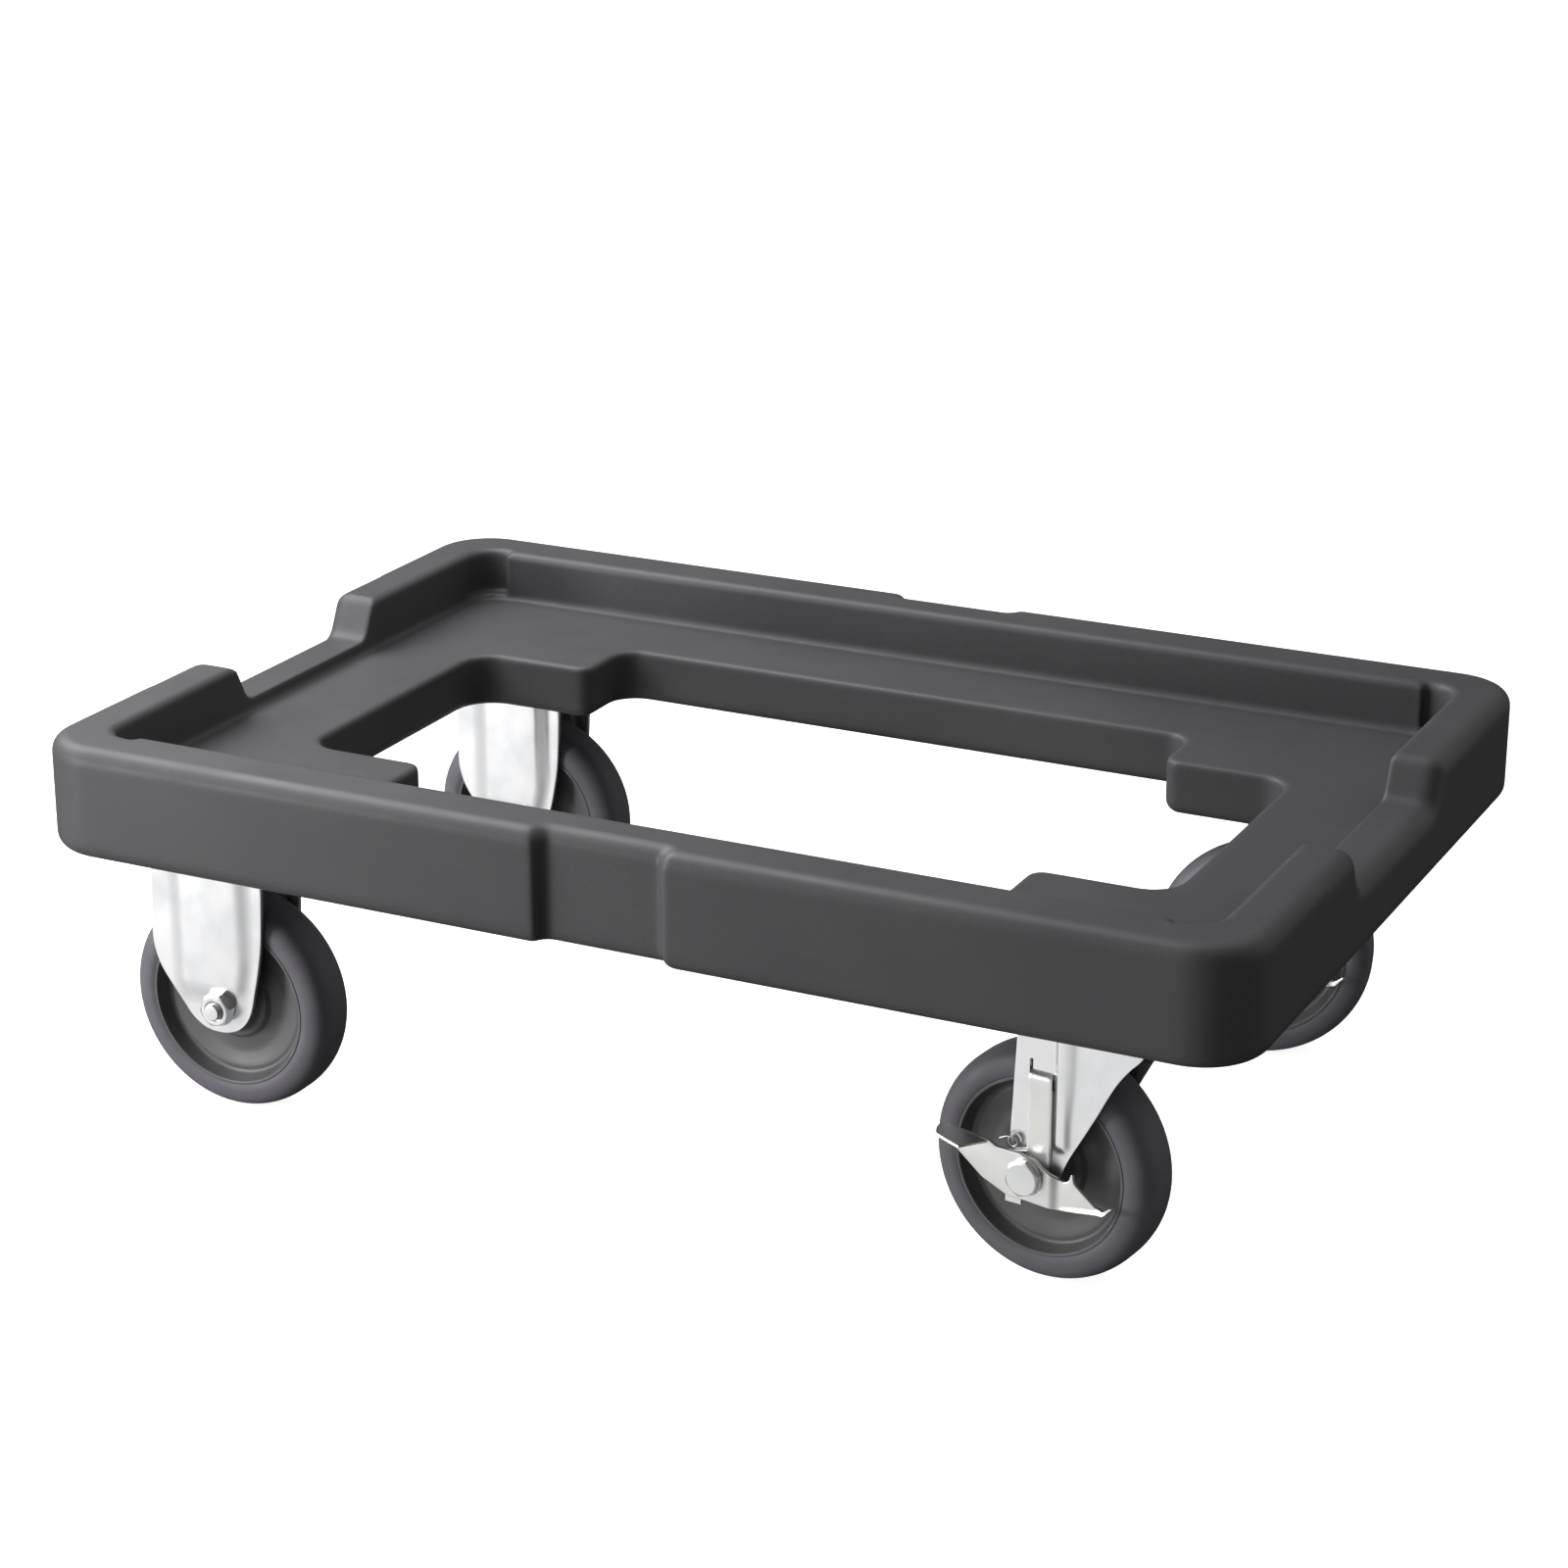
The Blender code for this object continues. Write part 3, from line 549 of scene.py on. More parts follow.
ZINC = zinc("zinc_plated_steel", (0.86, 0.865, 0.875), 0.24, 0.32)
LEVER_ZINC = zinc("zinc_plated_lever", (0.79, 0.79, 0.77), 0.28, 0.38)
NO_STREAKS = (1.0, 1.0, 1.0)
BOLT = zinc("zinc_fasteners", (0.76, 0.765, 0.77), 0.30, 0.42, NO_STREAKS)
SPRING = zinc("spring_steel", (0.45, 0.45, 0.46), 0.25, 0.38, NO_STREAKS)
STEEL = zinc("bearing_steel", (0.70, 0.70, 0.71), 0.20, 0.34, NO_STREAKS)
RUBBER = rubber()
CORE = core_plastic()
CAGE = cage_plastic()


# ---- moulded frame ---------------------------------------------------------------------------
POCKET_X, POCKET_Y = 314.5, 195.0          # half sizes of the pocket inside the rim
RELIEF_X, RELIEF_Y = (294.5, 314.3), 199.5  # its slightly wider ends
OPENING = [(255.0, 92.5, 18.0), (180.0, 92.5, 9.0), (180.0, 137.5, 14.0)]
RECESS = [(37.0, HALF_Y, 2.5), (32.5, HALF_Y - 7.0, 2.5)]
NEAR_RECESS_SHIFT = 3.0                    # the near recess sits a little off the middle
RIM_EDGE, RIM_FLARE = 8.5, 4.0             # radii of the rim's outer and inner edges
FILLET, DECK_FLARE, UNDER_FLARE = 3.0, 2.6, 8.0  # radii at the deck's edges
NOTCH_FOOT, NOTCH_TOP, NOTCH_FLOOR = 62.0, 73.0, 195.0
WALL_MIDDLE = 319.0                        # an end notch's inner edge turns about this x
VOXEL = 0.0015


def mirrored_four(quarter):
    """Whole outline from its (+X, +Y) quarter."""
    second = [(-x, y, r) for x, y, r in reversed(quarter)]
    third = [(-x, -y, r) for x, y, r in quarter]
    fourth = [(x, -y, r) for x, y, r in reversed(quarter)]
    return quarter + second + third + fourth


def frame_mesh():
    """Outer block less pocket, relief corners, opening and end notches, then softened."""
    outline = [(x + NEAR_RECESS_SHIFT, y, r) if y < 0 and abs(x) < 40 else (x, y, r)
               for x, y, r in mirrored_four([(HALF_X, HALF_Y, 36.0)] + RECESS)]
    body = stack("frame", outline, edge_levels(BOTTOM, TOP, RIM_EDGE, 10), 16)
    rim = flare(TOP, RIM_FLARE) + [(TOP + 10, RIM_FLARE)]
    fillet = [(DECK + FILLET * (1 - math.cos(a)), -FILLET * (1 - math.sin(a)))
              for a in (math.pi / 2 * k / 6 for k in range(7))]
    tools = [stack("pocket", rectangle(-POCKET_X, -POCKET_Y, POCKET_X, POCKET_Y, 24.0),
                   fillet + rim, 12)]
    for side in (-1, 1):
        x0, x1 = sorted(side * x for x in RELIEF_X)
        r0, r1 = (17.0, 0.6) if side < 0 else (0.6, 17.0)
        tools.append(stack("relief", [(x0, -RELIEF_Y, r0), (x1, -RELIEF_Y, r1),
                                      (x1, RELIEF_Y, r1), (x0, RELIEF_Y, r0)],
                           [(DECK + 3.5, 0.0)] + rim, 8))
    levels = [(BOTTOM - 8, UNDER_FLARE)] + flare(BOTTOM, UNDER_FLARE, up=-1)[::-1]
    levels += flare(DECK, DECK_FLARE) + [(DECK + 8, DECK_FLARE)]
    tools.append(stack("opening", mirrored_four(OPENING), levels, 10))
    above = TOP + 0.3
    notch = [(-NOTCH_FOOT, NOTCH_FLOOR, 9.0), (NOTCH_FOOT, NOTCH_FLOOR, 9.0),
             (NOTCH_TOP, above, 9.0), (120.0, above, 0.5), (120.0, above + 20, 0.5),
             (-120.0, above + 20, 0.5), (-120.0, above, 0.5), (-NOTCH_TOP, above, 9.0)]
    outside, inside = 10.0, 3.0
    ends = flare(HALF_X, outside) + [(HALF_X + 8, outside)]
    wall = [(2 * WALL_MIDDLE - x, offset) for x, offset in flare(WALL_MIDDLE, inside)][::-1]
    half = [(0.0, inside)] + [(x - 7.0, offset) for x, offset in wall] + ends
    levels = [(-x, offset) for x, offset in half[:0:-1]] + half
    tool = stack("notch", notch, levels, 8, upright=True)
    tool.transform(Matrix.Rotation(math.pi / 2, 4, "Z"))
    tools.append(tool)

    body_object = scratch("frame_body", body)
    helpers = add_booleans(body_object, tools)
    mod = body_object.modifiers.new("Voxels", "REMESH")
    mod.mode, mod.voxel_size, mod.use_smooth_shade = "VOXEL", VOXEL, True
    mod = body_object.modifiers.new("Soften", "SMOOTH")
    mod.factor, mod.iterations = 0.5, 5
    out = bake(body_object)
    out.shade_smooth()
    discard(helpers + [body_object])
    out.name = "frame_skin"
    return out


piece("moulded_frame", frame_mesh(), plastic_frame(), "base", "frame")


# ---- wheels ----------------------------------------------------------------------------------
def both_sides(half):
    """Profile of (radius, height, rounding) corners, mirrored about the wheel plane."""
    return half + [(r, -h, rounding) for r, h, rounding in reversed(half)]


def tread_profile():
    """Seat on the core, then a flattened ellipse from the side wall to the running surface."""
    arc = [(50.5 + 12.0 * math.sin(a) ** 0.86, 16.0 * math.cos(a) ** 0.62, 0)
           for a in (math.radians(6 * k) for k in range(15))]
    return both_sides([(47.85, 13.2, 0.1), (47.85, 15.2, 0.3)] + arc)


def core_profile():
    """Hub, dished web with a ridge, and the seat of the tread."""
    return both_sides([(10.4, 17.0, 0.5), (14.6, 17.0, 1.0), (17.8, 9.8, 2.5), (21.0, 9.3, 1.2),
                       (23.2, 6.8, 2.0), (31.0, 5.6, 9.0), (37.0, 7.1, 5.0), (40.2, 7.9, 3.5),
                       (43.2, 7.3, 2.2), (45.4, 12.6, 1.4), (46.2, 15.5, 0.7),
                       (47.75, 15.5, 0.3), (47.8, 14.2, 0.1)])


tyre_mesh = lathe("tyre", tread_profile(), 128, 3, sharp=45)
core_mesh = lathe("core", core_profile(), 128, 5, sharp=45)
cage_mesh = lathe("cage", [(7.7, -15.0, 0.2), (10.1, -15.0, 0.2), (10.1, 15.0, 0.2),
                           (7.7, 15.0, 0.2)], 48, 2)


def wheel(kind, side, at):
    body = f"{kind}_wheel_{side}"
    piece(f"{kind}_tread_{side}", tyre_mesh.copy(), RUBBER, body, f"{kind}_tyre_{side}",
          at)
    piece(f"{kind}_core_{side}", core_mesh.copy(), CORE, body, f"{kind}_wheel_core_{side}",
          at)
    piece(f"{kind}_cage_{side}", cage_mesh.copy(), CAGE, body, f"{kind}_roller_cage_{side}",
          at)


# ---- fasteners -------------------------------------------------------------------------------
def axle_parts(kind, side, body, at, seat, head_y, tip_y, nut_y):
    """Sleeve, bolt and nut on the axle, at these y; lathe heights run towards -Y."""
    sleeve = lathe("sleeve", [(5.2, -seat, 0.2), (7.4, -seat, 0.4), (7.4, seat, 0.4),
                              (5.2, seat, 0.2)], 48, 2)
    piece(f"{kind}_sleeve_{side}", sleeve, STEEL, body, f"{kind}_axle_sleeve_{side}",
          at)
    seat_h = abs(head_y)
    head = hexagon("head", 17.0, seat_h + 1.2, seat_h + 4.9, axis="Y", centre=(0, WHEEL_Z),
                   turn=0.35, crown=0.985)
    collar = lathe("collar", [(0.0, seat_h, 0), (9.3, seat_h, 0.25), (9.3, seat_h + 1.2, 0.3),
                              (0.0, seat_h + 1.25, 0)], 64, 3, closed=False)
    tip = abs(tip_y)
    shank = lathe("shank", [(0.0, -tip, 0), (4.3, -tip, 0.4), (4.8, -tip + 0.6, 0.3),
                            (4.8, seat_h + 0.5, 0), (0.0, seat_h + 0.5, 0)], 48, 3,
                  closed=False)
    mesh = join("axle_bolt", head, collar, shank)
    if head_y >= 0:
        mesh = mirror_y(mesh)
    piece(f"{kind}_bolt_{side}", mesh, BOLT, body, f"{kind}_axle_bolt_{side}", at)
    near = abs(nut_y)
    nut = hexagon("nut", 17.0, near + 0.4, near + 7.8, bore=5.1, axis="Y", centre=(0, WHEEL_Z),
                  turn=0.2, crown=0.96, both=True)
    if nut_y > 0:
        nut = mirror_y(nut)
    piece(f"{kind}_nut_{side}", nut, BOLT, body, f"{kind}_axle_nut_{side}", at)


def mounting_screws(kind, side, at):
    """Four hexagon screws with washers, up through the plate into the frame."""
    seat = PLATE_BOTTOM - GAP
    for i, (bx, by) in enumerate(((-BOLT_X, -BOLT_Y), (BOLT_X, -BOLT_Y), (BOLT_X, BOLT_Y),
                                  (-BOLT_X, BOLT_Y)), start=1):
        head = hexagon("head", 13.0, -(seat - 1.3), -(seat - 5.2), turn=0.3 * i, crown=0.95)
        head.transform(Matrix.Rotation(math.pi, 4, "X"))
        washer = lathe("washer", [(0.0, seat - 1.3, 0), (7.3, seat - 1.3, 0.3),
                                  (7.3, seat, 0.3), (0.0, seat, 0)], 48, 2, "Z", False)
        shank = lathe("shank", [(0.0, seat - 0.5, 0), (3.8, seat - 0.5, 0),
                                (3.8, BOTTOM + 14.0, 0.4), (2.9, BOTTOM + 15.0, 0.3),
                                (0.0, BOTTOM + 15.0, 0)], 32, 2, "Z", False)
        mesh = join("screw", head, washer, shank)
        node = f"mount_bolt_{kind}_{side}_{i}"
        piece(node.replace("mount_bolt", "plate_screw"), mesh, BOLT, "base", node,
              at @ Matrix.Translation((bx * MM, by * MM, 0)))


def plate_cutters(centre_hole=False):
    tools = [rod(SCREW_HOLE, 140, 160, (bx, by)) for bx in (-BOLT_X, BOLT_X)
             for by in (-BOLT_Y, BOLT_Y)]
    return tools + ([rod(PIN_HOLE, 135, 160)] if centre_hole else [])


def top_plate():
    return stack("plate", rectangle(-52.5, -40.0, 52.5, 40.0, 8.0),
                 edge_levels(PLATE_BOTTOM, PLATE_TOP, 0.6, 3), 8)


# ---- rigid casters ---------------------------------------------------------------------------
FIXED_SHIFT = -7.0                         # plate from its axle, along X
FIXED_FACE, FIXED_PANEL = 20.0, 3.5        # leg's face from the wheel plane, panel's height
# (z, rear x, front x) of a leg's edges
FIXED_EDGES = [(152.6, -40.2, 27.2), (141.5, -41.6, 28.4), (132.0, -42.5, 28.6),
               (119.0, -42.9, 28.1), (106.0, -43.3, 27.3), (98.0, -43.4, 26.4),
               (91.0, -42.7, 25.2), (83.0, -40.3, 23.7), (77.5, -37.5, 22.5),
               (72.0, -33.6, 21.2), (66.3, -29.2, 20.0), (60.0, -24.6, 18.0),
               (54.0, -19.9, 14.4), (50.0, -14.9, 9.9), (48.0, -10.9, 5.4),
               (47.0, -6.6, 1.2), (46.8, -3.6, -2.2)]


def leg_rows(edges, height, rows, columns):
    """Outer grid of a pressed leg on the -Y side, its rows closer together near the axle."""
    z_top, z_low = edges[0][0], edges[-1][0]
    grid = []
    for k in range(rows + 1):
        z = z_top + (z_low - z_top) * (1 - (1 - k / rows) ** 1.35)
        rear, front = curve_through(edges, z)
        across = [rear + (front - rear) * c / columns for c in range(columns + 1)]
        grid.append([(x, -height(x, z, front), z) for x in across])
    return grid


def fixed_height(x, z, front):
    """Distance of the leg's face from the wheel plane: flanges and a raised panel."""
    panel = smooth_step(x, -34.0, -20.0) * (1 - smooth_step(x, min(12.5, front - 12.0),
                                                            min(23.0, front - 2.5)))
    fade = smooth_step(z, 61.0, 76.0)
    crown = 1.0 - 0.25 * ((x + 5.0) / 22.0) ** 2
    return FIXED_FACE + FIXED_PANEL * panel * fade * max(crown, 0.6)


def leg_mesh(name, rows):
    """Sheet metal leg with this outer face."""
    return sheet(name, rows, [[(x, y + LEG_SHEET, z) for x, y, z in row] for row in rows])


def axle_hole():
    return rod(AXLE_HOLE, -40, 40, (0, WHEEL_Z), "Y")


def fixed_fork():
    """Top plate and two alike legs in one pressing."""
    rows = leg_rows(FIXED_EDGES, fixed_height, 90, 60)
    plate = cut(top_plate(), plate_cutters())
    plate.transform(Matrix.Translation((FIXED_SHIFT * MM, 0, 0)))
    leg = cut(leg_mesh("fixed_fork", rows), [axle_hole()], bevel=0.35, angle=60)
    return join("fixed_fork", leg, mirror_y(leg), plate)


for side in SIDES:
    at = place("fixed", side)
    piece(f"fixed_housing_{side}", fixed_fork(), ZINC, "base", f"fixed_fork_{side}",
          at)
    wheel("fixed", side, at)
    axle_parts("fixed", side, "base", at, 17.2, 20.3, 31.0, -20.3)
    mounting_screws("fixed", side, at @ Matrix.Translation((FIXED_SHIFT * MM, 0, 0)))


# ---- braked swivel casters -------------------------------------------------------------------
SWIVEL_FACE, SWIVEL_RIB = 21.0, 1.9        # leg's face from the wheel plane, rib's height
SWIVEL_EDGES = [(144.0, -10.2, 61.0), (137.0, -10.5, 58.7), (129.0, -10.8, 51.6),
                (121.0, -11.2, 45.6), (112.0, -11.7, 40.5), (102.5, -12.1, 35.6),
                (92.0, -12.6, 29.8), (84.0, -13.0, 25.3), (78.0, -13.2, 22.0),
                (70.0, -13.4, 18.0), (62.5, -13.0, 15.0), (56.0, -11.4, 12.6),
                (51.5, -8.4, 9.0), (49.3, -5.0, 5.2), (48.8, -2.4, 2.4)]


def swivel_height(x, z, _):
    """Distance of the leg's face from the wheel plane, with its vertical rib."""
    soft = smooth_step(z, 88.0, 125.0)
    rib = smooth_step(x, 10.8, 14.0) * (1 - smooth_step(x, 16.8 - soft, 21.6 + 2.4 * soft))
    fade = smooth_step(z, 75.5, 81.0)
    dish = 0.9 * smooth_step(x, 20.0, 25.0) * (1 - smooth_step(x, 25.0, 40.0))
    return SWIVEL_FACE + SWIVEL_RIB * rib * fade - dish * fade * 0.6


def swivel_fork():
    """Crown on its ball race and two legs, the near one slotted for the brake strap."""
    rows = leg_rows(SWIVEL_EDGES, swivel_height, 90, 64)
    plain = leg_mesh("leg", rows)
    hole = [axle_hole()]
    slot = stack("slot", [(-3.2, 108.5, 0.8), (10.7, 108.5, 0.8), (10.7, 117.75, 0.8),
                          (-1.3, 117.75, 0.3), (-1.3, 123.2, 0.6), (-3.2, 123.2, 0.6)],
                 [(10, 0), (30, 0)], 4, upright=True)
    near = cut(plain.copy(), hole + [slot], bevel=0.2, angle=60)
    far = mirror_y(cut(plain, hole, bevel=0.35, angle=60))
    crown = stack("crown", rectangle(-9.0, -20.8, 70.0, 20.8, 9.0),
                  edge_levels(142.6, 145.5, 0.7, 3), 8)
    race = lathe("race", [(8.5, 143.0, 0.5), (27.0, 143.0, 1.0), (27.0, 145.2, 0.8),
                          (23.8, 145.4, 0.8), (22.3, 144.6, 0.8), (20.6, 145.4, 0.8),
                          (8.5, 145.6, 0.5)], 72, 3, "Z")
    race.transform(Matrix.Translation((TRAIL * MM, 0, 0)))
    crown = cut(crown, [rod(PIN_HOLE, 135, 150, (TRAIL, 0))])
    return join("swivel_fork", near, far, crown, race)


def strip(name, path, thickness, low_x, high_x, columns=8):
    """Bent strap along the (y, z) path of its outer face; low_x and high_x take a height."""
    outer, inner = [], []
    count = len(path)
    for i, (y, z) in enumerate(path):
        a, b = Vector(path[max(i - 1, 0)]), Vector(path[min(i + 1, count - 1)])
        along = (b - a).normalized()
        normal = Vector((along.y, -along.x))
        x0, x1 = low_x(z), high_x(z)
        xs = [x0 + (x1 - x0) * c / columns for c in range(columns + 1)]
        outer.append([(x, -y, z) for x in xs])
        y2, z2 = y - normal.x * thickness, z - normal.y * thickness
        inner.append([(x, -y2, z2) for x in xs])
    return sheet(name, outer, inner)


def strap_mesh():
    """Brake strap: foot round the axle bolt, straight shank, and toe bent in over the tread."""
    face = 23.5
    heights = [44.0 + 0.5 * k for k in range(0, 62)] + [75.0 + 2.0 * k for k in range(0, 19)]
    path = [(face, z) for z in heights]
    bend = rounded_outline([(face, 111.0, 0), (face, 117.4, 4.2), (18.2, 117.6, 1.0),
                            (18.2, 130.4, 4.5), (3.0, 130.4, 0)], 0.0, 10, False)
    path += [(p.x, p.y) for p in bend[1:]]

    def rear(z):
        return -13.9 + 11.6 * smooth_step(z, 70.5, 74.5)

    def front(z):
        return -5.0 + 15.2 * smooth_step(z, 49.4, 51.4)

    mesh = strip("strap", path, 2.0, rear, front)
    hole = stack("hole", rectangle(-5.5, WHEEL_Z - 5.5, 5.5, WHEEL_Z + 8.5, 5.4),
                 [(18, 0), (27, 0)], 8, upright=True)
    return cut(mesh, [hole], bevel=0.35, angle=60)


PEDAL_EDGE = [(-38.7, 3.5, 1.5), (-25.5, -6.9, 5), (-10.2, -13.5, 5), (-0.1, -13.5, 5),
              (18.2, -14.8, 8), (42.6, -11.2, 4.5), (48.0, -5.9, 0.4), (47.0, -5.1, 0.4),
              (42.2, -8.9, 3.5), (37.6, -7.9, 2.5), (25.7, 1.4, 2.5), (24.6, 8.0, 0.7),
              (21.6, 0.4, 3.0), (17.4, 1.8, 3.0), (7.6, 7.2, 4), (-3.6, 11.4, 5),
              (-17.5, 11.7, 3), (-21.4, 13.9, 1.5), (-47.5, 16.6, 1.0), (-41.6, 7.5, 3)]


def bent(mesh, xs, zs, shift):
    """Upright plate pushed out by shift(x, z), after cuts that give it points to bend at."""
    bm = bmesh.new()
    bm.from_mesh(mesh)
    planes = [((x, 0, 0), (1, 0, 0)) for x in xs] + [((0, 0, z), (0, 0, 1)) for z in zs]
    for point, normal in planes:
        bmesh.ops.bisect_plane(bm, geom=bm.verts[:] + bm.edges[:] + bm.faces[:], dist=1e-7,
                               plane_co=Vector(point) * MM, plane_no=normal)
    for vert in bm.verts:
        vert.co.y -= shift(vert.co.x / MM, vert.co.z / MM) * MM
    out = bpy.data.meshes.new(mesh.name)
    bm.to_mesh(out)
    bm.free()
    out.shade_smooth()
    out.set_sharp_from_angle(angle=math.radians(SHARP))
    return out


def pedal_shift(x, z):
    """Joggle towards the wheel, rolled lower lip and turned-out release tip."""
    joggle = 2.3 * smooth_step(x, 11.8, 18.2)
    edge = WHEEL_Z - 14.8 + 0.156 * (x - 18.2)
    lip = 1.0 * (1 - smooth_step(z - edge, 0.3, 2.6)) * smooth_step(x, 10.0, 30.0)
    curl = 2.2 * smooth_step(x, 38.0, 48.0)
    return lip + curl - joggle


def pedal_mesh():
    """Foot pedal: bent cheek on its cam, and the foot pad with its rolled-down edge."""
    edge = [(x, z + WHEEL_Z, r) for x, z, r in PEDAL_EDGE]
    cheek = stack("pedal", edge, edge_levels(25.5, 27.8, 0.6, 4), 6, upright=True)
    cam = lathe("cam", [(0.0, 23.8, 0), (9.4, 23.8, 0.3), (9.4, 26.0, 0), (0.0, 26.0, 0)],
                64, 2, closed=False)
    cheek = cut(cheek, [cam], operation="UNION")
    cheek = cut(cheek, [rod(5.4, 20, 30, (0, WHEEL_Z), "Y")])
    xs = [11.5 + 0.75 * k for k in range(16)] + [24.0 + 1.2 * k for k in range(21)]
    cheek = bent(cheek, xs, [WHEEL_Z - 15.0 + 0.75 * k for k in range(14)], pedal_shift)
    columns, flat = 16, 10
    root, rim, roll = 26.4, 41.6, 1.6      # the pad from the wheel plane, and its rolled edge
    spread = [(root + (rim - root) * c / flat, 0.0) for c in range(flat + 1)]
    spread += [(rim + roll * math.sin(a), roll * (1 - math.cos(a)))
               for a in (math.pi / 2 * k / 6 for k in range(1, 7))]
    grid, under = [], []
    for out, drop in spread:
        t = (out - root) / 17.6
        left, right = Vector((-50.2 + 4.2 * t, 17.2)), Vector((-21.8 - 8.6 * t, 13.6 + 1.4 * t))
        row, low = [], []
        for k in range(columns + 1):
            u = k / columns
            bulge = 1.6 * (1 - math.sin(math.pi * min(max(t, 0.12), 0.88))) * (1 - u) ** 6
            x = left.x + (right.x - left.x) * u + bulge
            z = WHEEL_Z + left.y + (right.y - left.y) * u - drop
            y = -(out - 3.4 * t * (1 - u))
            row.append((x, y, z))
            slope = drop / roll
            low.append((x, y + 1.3 * math.sin(slope * math.pi / 2),
                        z - 1.3 * math.cos(slope * math.pi / 2)))
        grid.append(row)
        under.append(low)
    pad = cut(sheet("pad", grid, under), [], bevel=0.35, angle=60, segments=3)
    return join("pedal", cheek, pad)


def spring_curve():
    """Small coil behind the pedal's cam, with one straight tail."""
    curve = bpy.data.curves.new("brake_spring", "CURVE")
    curve.dimensions = "3D"
    curve.bevel_depth = 0.5 * MM
    curve.bevel_resolution = 4
    curve.resolution_u = 6
    curve.use_fill_caps = True
    turns, per_turn = 2.25, 20
    points = [
        (-9.8 + 2.7 * math.cos(t), -22.1 - 1.12 * t / (2 * math.pi), 15.1 + 2.7 * math.sin(t))
        for t in (2 * math.pi * k / per_turn for k in range(int(turns * per_turn) + 1))]
    points += [(-13.5, -24.9, 17.2), (-17.0, -24.9, 15.4)]
    spline = curve.splines.new("POLY")
    spline.points.add(len(points) - 1)
    for target, (x, y, z) in zip(spline.points, points):
        target.co = (x * MM, y * MM, (z + WHEEL_Z) * MM, 1.0)
    return curve


def swivel_head(side, at):
    """Top plate with its skirt, and the kingpin, both still while the caster swivels."""
    plate = cut(top_plate(), plate_cutters(True))
    skirt = lathe("skirt", [(26.2, PLATE_BOTTOM - 5.0, 0.4), (28.5, PLATE_BOTTOM - 5.0, 0.6),
                            (28.7, PLATE_BOTTOM - 1.6, 1.5), (31.5, PLATE_BOTTOM + 0.4, 0.6),
                            (26.0, PLATE_BOTTOM + 0.6, 0.3)], 96, 4, "Z")
    piece(f"swivel_plate_{side}", join("top_plate", plate, skirt), ZINC, "base",
          f"swivel_top_plate_{side}", at)
    pin = [(0.0, 130.8, 0), (6.2, 130.8, 0.8), (8.2, 132.2, 0.8), (8.5, 134.9, 0.5),
           (15.6, 134.9, 0.8), (17.0, 136.6, 0.8), (17.0, 140.8, 0.6), (15.0, 140.8, 0.3),
           (15.0, 137.3, 0.3), (5.0, 137.3, 0.3), (5.0, 153.9, 0.5), (0.0, 154.4, 0)]
    piece(f"swivel_pin_{side}", lathe("kingpin", pin, 64, 3, "Z", False), BOLT, "base",
          f"swivel_kingpin_{side}", at)


def ball_ring(name, major, minor, z, count):
    """Ring of bearing balls in a thin retainer."""
    bm = bmesh.new()
    for k in range(count):
        angle = 2 * math.pi * k / count
        bmesh.ops.create_icosphere(bm, subdivisions=3, radius=minor, matrix=Matrix.Translation(
            (major * math.cos(angle), major * math.sin(angle), z)))
    balls = finish_mesh("balls", bm, 0)
    retainer = lathe("retainer", [(major - 1.1, z - 0.5, 0.2), (major + 1.1, z - 0.5, 0.2),
                                  (major + 1.1, z + 0.5, 0.2), (major - 1.1, z + 0.5, 0.2)],
                     72, 2, "Z")
    return join(name, balls, retainer)


for side in SIDES:
    at = place("swivel", side)
    pivot = Vector(JOINTS[f"swivel_{side}"]["pos_m"])
    seat = Matrix.Translation((pivot.x, pivot.y, 0))
    turned_seat = at @ Matrix.Translation((TRAIL * MM, 0, 0))
    body = f"swivel_{side}"
    swivel_head(side, seat)
    mounting_screws("swivel", side, seat)
    piece(f"swivel_housing_{side}", swivel_fork(), ZINC, body, f"swivel_fork_{side}",
          at)
    wheel("swivel", side, at)
    axle_parts("swivel", side, body, at, 18.2, -28.1, 31.0, 21.3)
    piece(f"upper_balls_{side}", ball_ring("upper_balls", 22.3, 2.7, 148.6, 22), STEEL, body,
          f"swivel_upper_ball_ring_{side}", turned_seat)
    piece(f"lower_balls_{side}", ball_ring("lower_balls", 11.4, 2.15, 139.85, 14), STEEL, body,
          f"swivel_lower_ball_ring_{side}", turned_seat)
    piece(f"brake_lever_{side}", pedal_mesh(), LEVER_ZINC, f"pedal_{side}",
          f"brake_pedal_{side}", at)
    piece(f"brake_tie_{side}", strap_mesh(), LEVER_ZINC, f"strap_{side}",
          f"brake_strap_{side}", at)
    piece(f"brake_coil_{side}", spring_curve(), SPRING, body, f"brake_spring_{side}",
          at)


# ---- stage, light and camera -----------------------------------------------------------------
AMBIENT = 0.035                            # glow of the surround away from its walls
# (towards, cosines where a wall starts and is full, dimmest and brightest value)
WALLS = [((-0.56, -0.75, -0.35), 0.30, 0.97, AMBIENT, 0.82),
         ((0.70, 0.50, 0.50), 0.55, 1.0, 0.0, 0.7),
         ((0.0, 0.0, 1.0), 0.1, 1.0, 0.0, 0.22)]


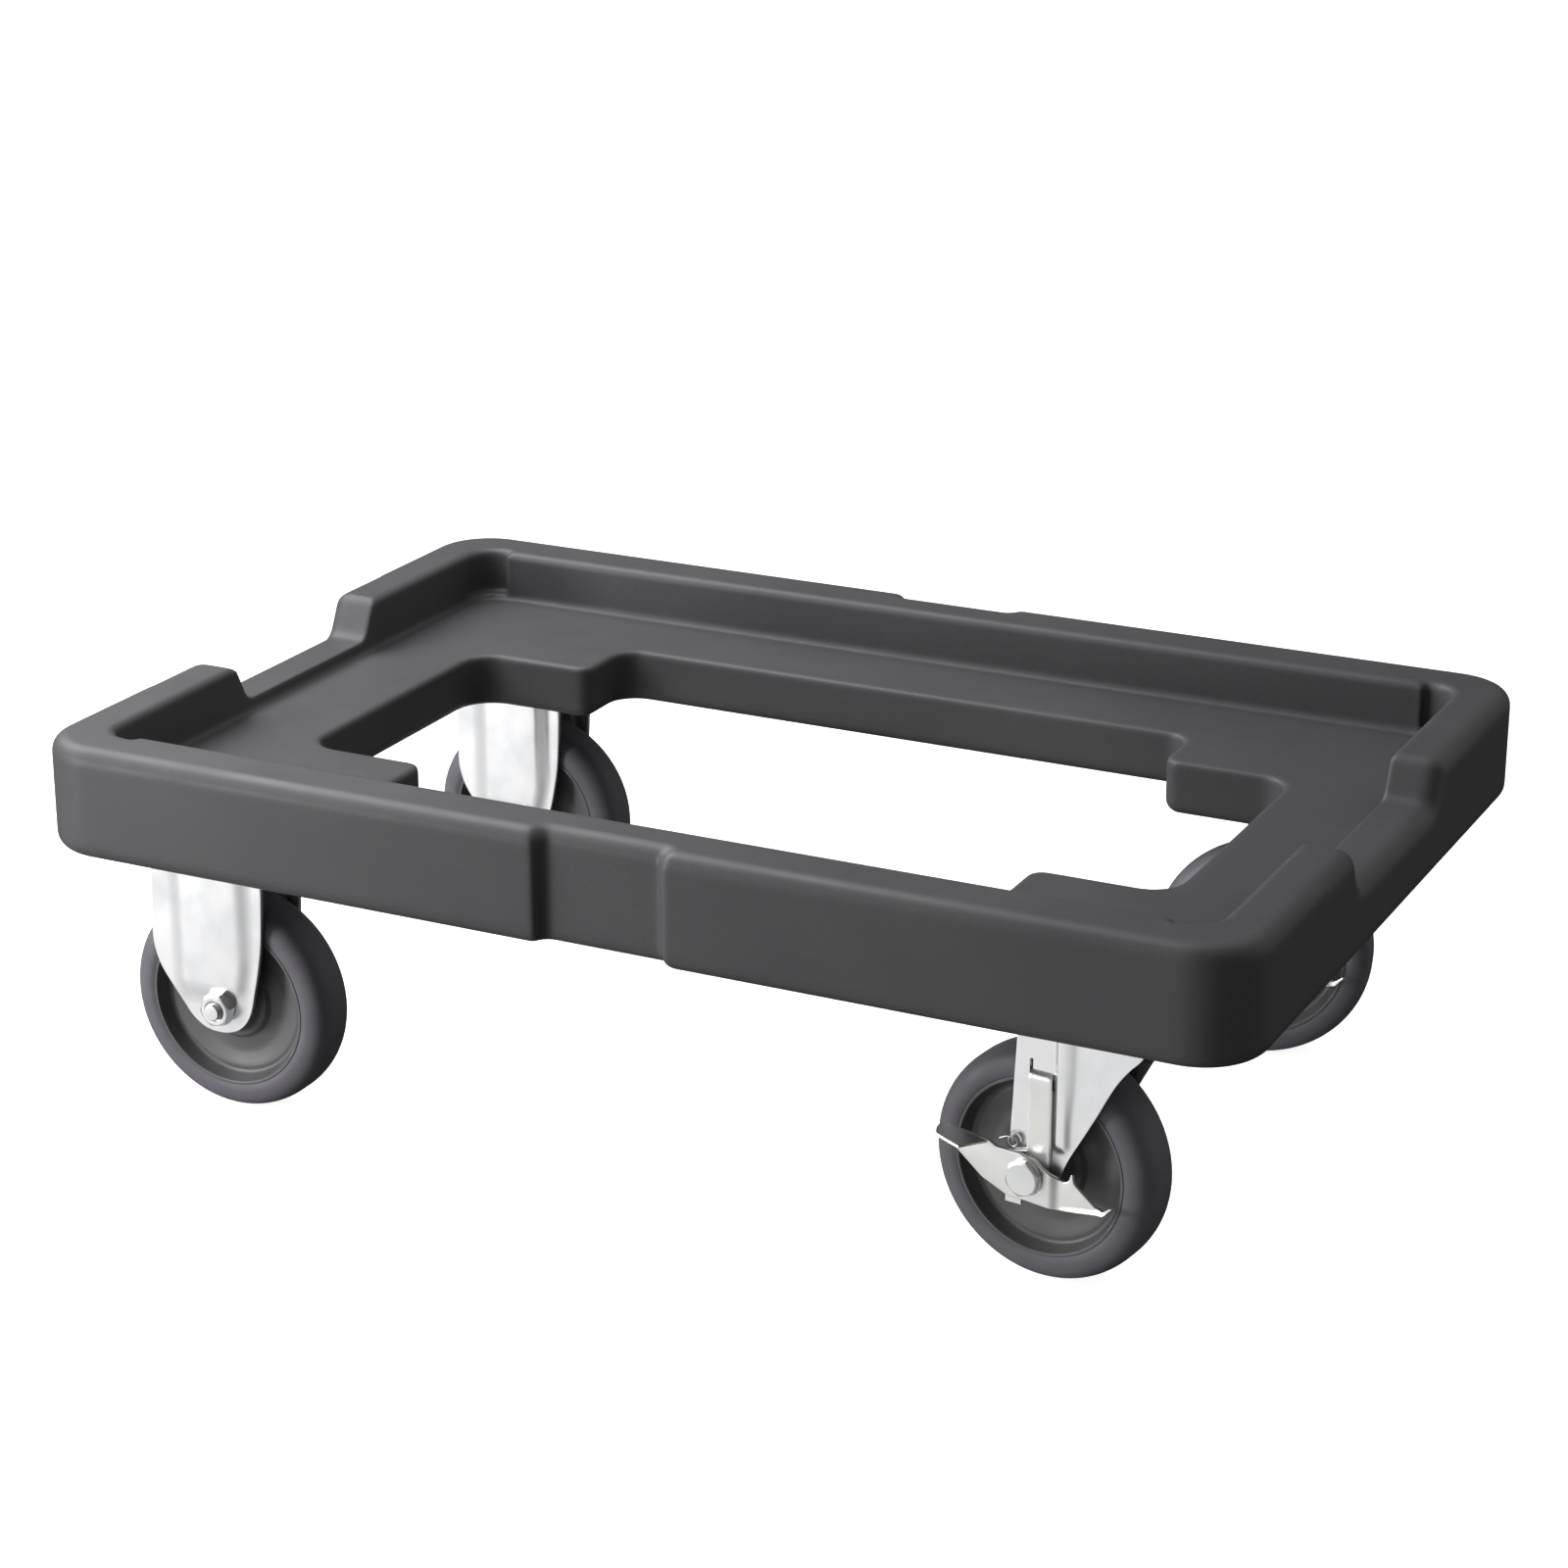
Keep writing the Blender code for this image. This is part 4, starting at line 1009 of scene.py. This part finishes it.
def stage_floor():
    """White paper that glows a little, so that only soft shadows show on it."""
    bm = bmesh.new()
    bmesh.ops.create_grid(bm, x_segments=1, y_segments=1, size=30.0)
    mesh = bpy.data.meshes.new("floor")
    bm.to_mesh(mesh)
    bm.free()
    obj = bpy.data.objects.new("floor", mesh)
    bpy.context.scene.collection.objects.link(obj)
    mat = bpy.data.materials.new("floor_paper")
    mat.use_nodes = True
    shader = mat.node_tree.nodes["Principled BSDF"]
    shader.inputs["Base Color"].default_value = (0.72, 0.72, 0.72, 1.0)
    shader.inputs["Emission Color"].default_value = (1.0, 1.0, 1.0, 1.0)
    shader.inputs["Emission Strength"].default_value = 0.86
    shader.inputs["Roughness"].default_value = 0.9
    shader.inputs["Specular IOR Level"].default_value = 0.1
    mesh.materials.append(mat)
    obj.visible_diffuse = False
    obj.visible_glossy = False


def world_light():
    """Studio surround: bright wall front left, a smaller one above on the back right, faint
    ceiling, and dark elsewhere."""
    world = bpy.data.worlds.new("studio")
    bpy.context.scene.world = world
    world.use_nodes = True
    nodes, links = world.node_tree.nodes, world.node_tree.links
    background = nodes["Background"]
    coord = nodes.new("ShaderNodeTexCoord")
    total = None
    for direction, low, high, dim, bright in WALLS:
        dot = nodes.new("ShaderNodeVectorMath")
        dot.operation = "DOT_PRODUCT"
        dot.inputs[1].default_value = direction
        links.new(coord.outputs["Generated"], dot.inputs[0])
        ramp = nodes.new("ShaderNodeMapRange")
        ramp.interpolation_type = "SMOOTHSTEP"
        for key, value in (("From Min", low), ("From Max", high), ("To Min", dim),
                           ("To Max", bright)):
            ramp.inputs[key].default_value = value
        links.new(dot.outputs["Value"], ramp.inputs["Value"])
        if total is None:
            total = ramp.outputs["Result"]
        else:
            add = nodes.new("ShaderNodeMath")
            links.new(total, add.inputs[0])
            links.new(ramp.outputs["Result"], add.inputs[1])
            total = add.outputs["Value"]
    links.new(total, background.inputs["Strength"])
    background.inputs["Color"].default_value = (1.0, 1.0, 1.0, 1.0)


def area(name, location, target, size, power):
    light = bpy.data.lights.new(name, "AREA")
    light.shape, light.size, light.energy = "DISK", size, power
    obj = bpy.data.objects.new(name, light)
    bpy.context.scene.collection.objects.link(obj)
    obj.location = location
    obj.rotation_euler = (Vector(target) - Vector(location)).to_track_quat("-Z", "Y").to_euler()


def camera():
    """Long lens, looking down on the front right corner of the dolly."""
    yaw, pitch, roll = math.radians(26.14), math.radians(-19.72), math.radians(0.05)
    ahead = Vector((-math.sin(yaw) * math.cos(pitch), math.cos(yaw) * math.cos(pitch),
                    math.sin(pitch)))
    right = Vector((math.cos(yaw), math.sin(yaw), 0))
    up = right.cross(ahead)
    right, up = (right * math.cos(roll) + up * math.sin(roll),
                 up * math.cos(roll) - right * math.sin(roll))
    data = bpy.data.cameras.new("camera")
    data.lens, data.sensor_width = 85.517, 36.0
    data.clip_end = 100.0
    obj = bpy.data.objects.new("camera", data)
    bpy.context.scene.collection.objects.link(obj)
    rotation = Matrix((right, up, -ahead)).transposed().to_4x4()
    obj.matrix_world = Matrix.Translation((0.84429, -1.73276, 0.86475)) @ rotation
    bpy.context.scene.camera = obj


stage_floor()
world_light()
area("key_light", (-1.20, -0.95, 0.90), (-0.2, 0, 0.18), 0.8, 11.0)
area("low_light", (-0.95, -1.00, 0.20), (0, 0, 0.15), 0.36, 9.0)
area("top_light", (-0.75, 0.02, 1.10), (0, 0, 0.2), 1.2, 27.0)
camera()
bpy.context.scene.view_settings.view_transform = "Standard"
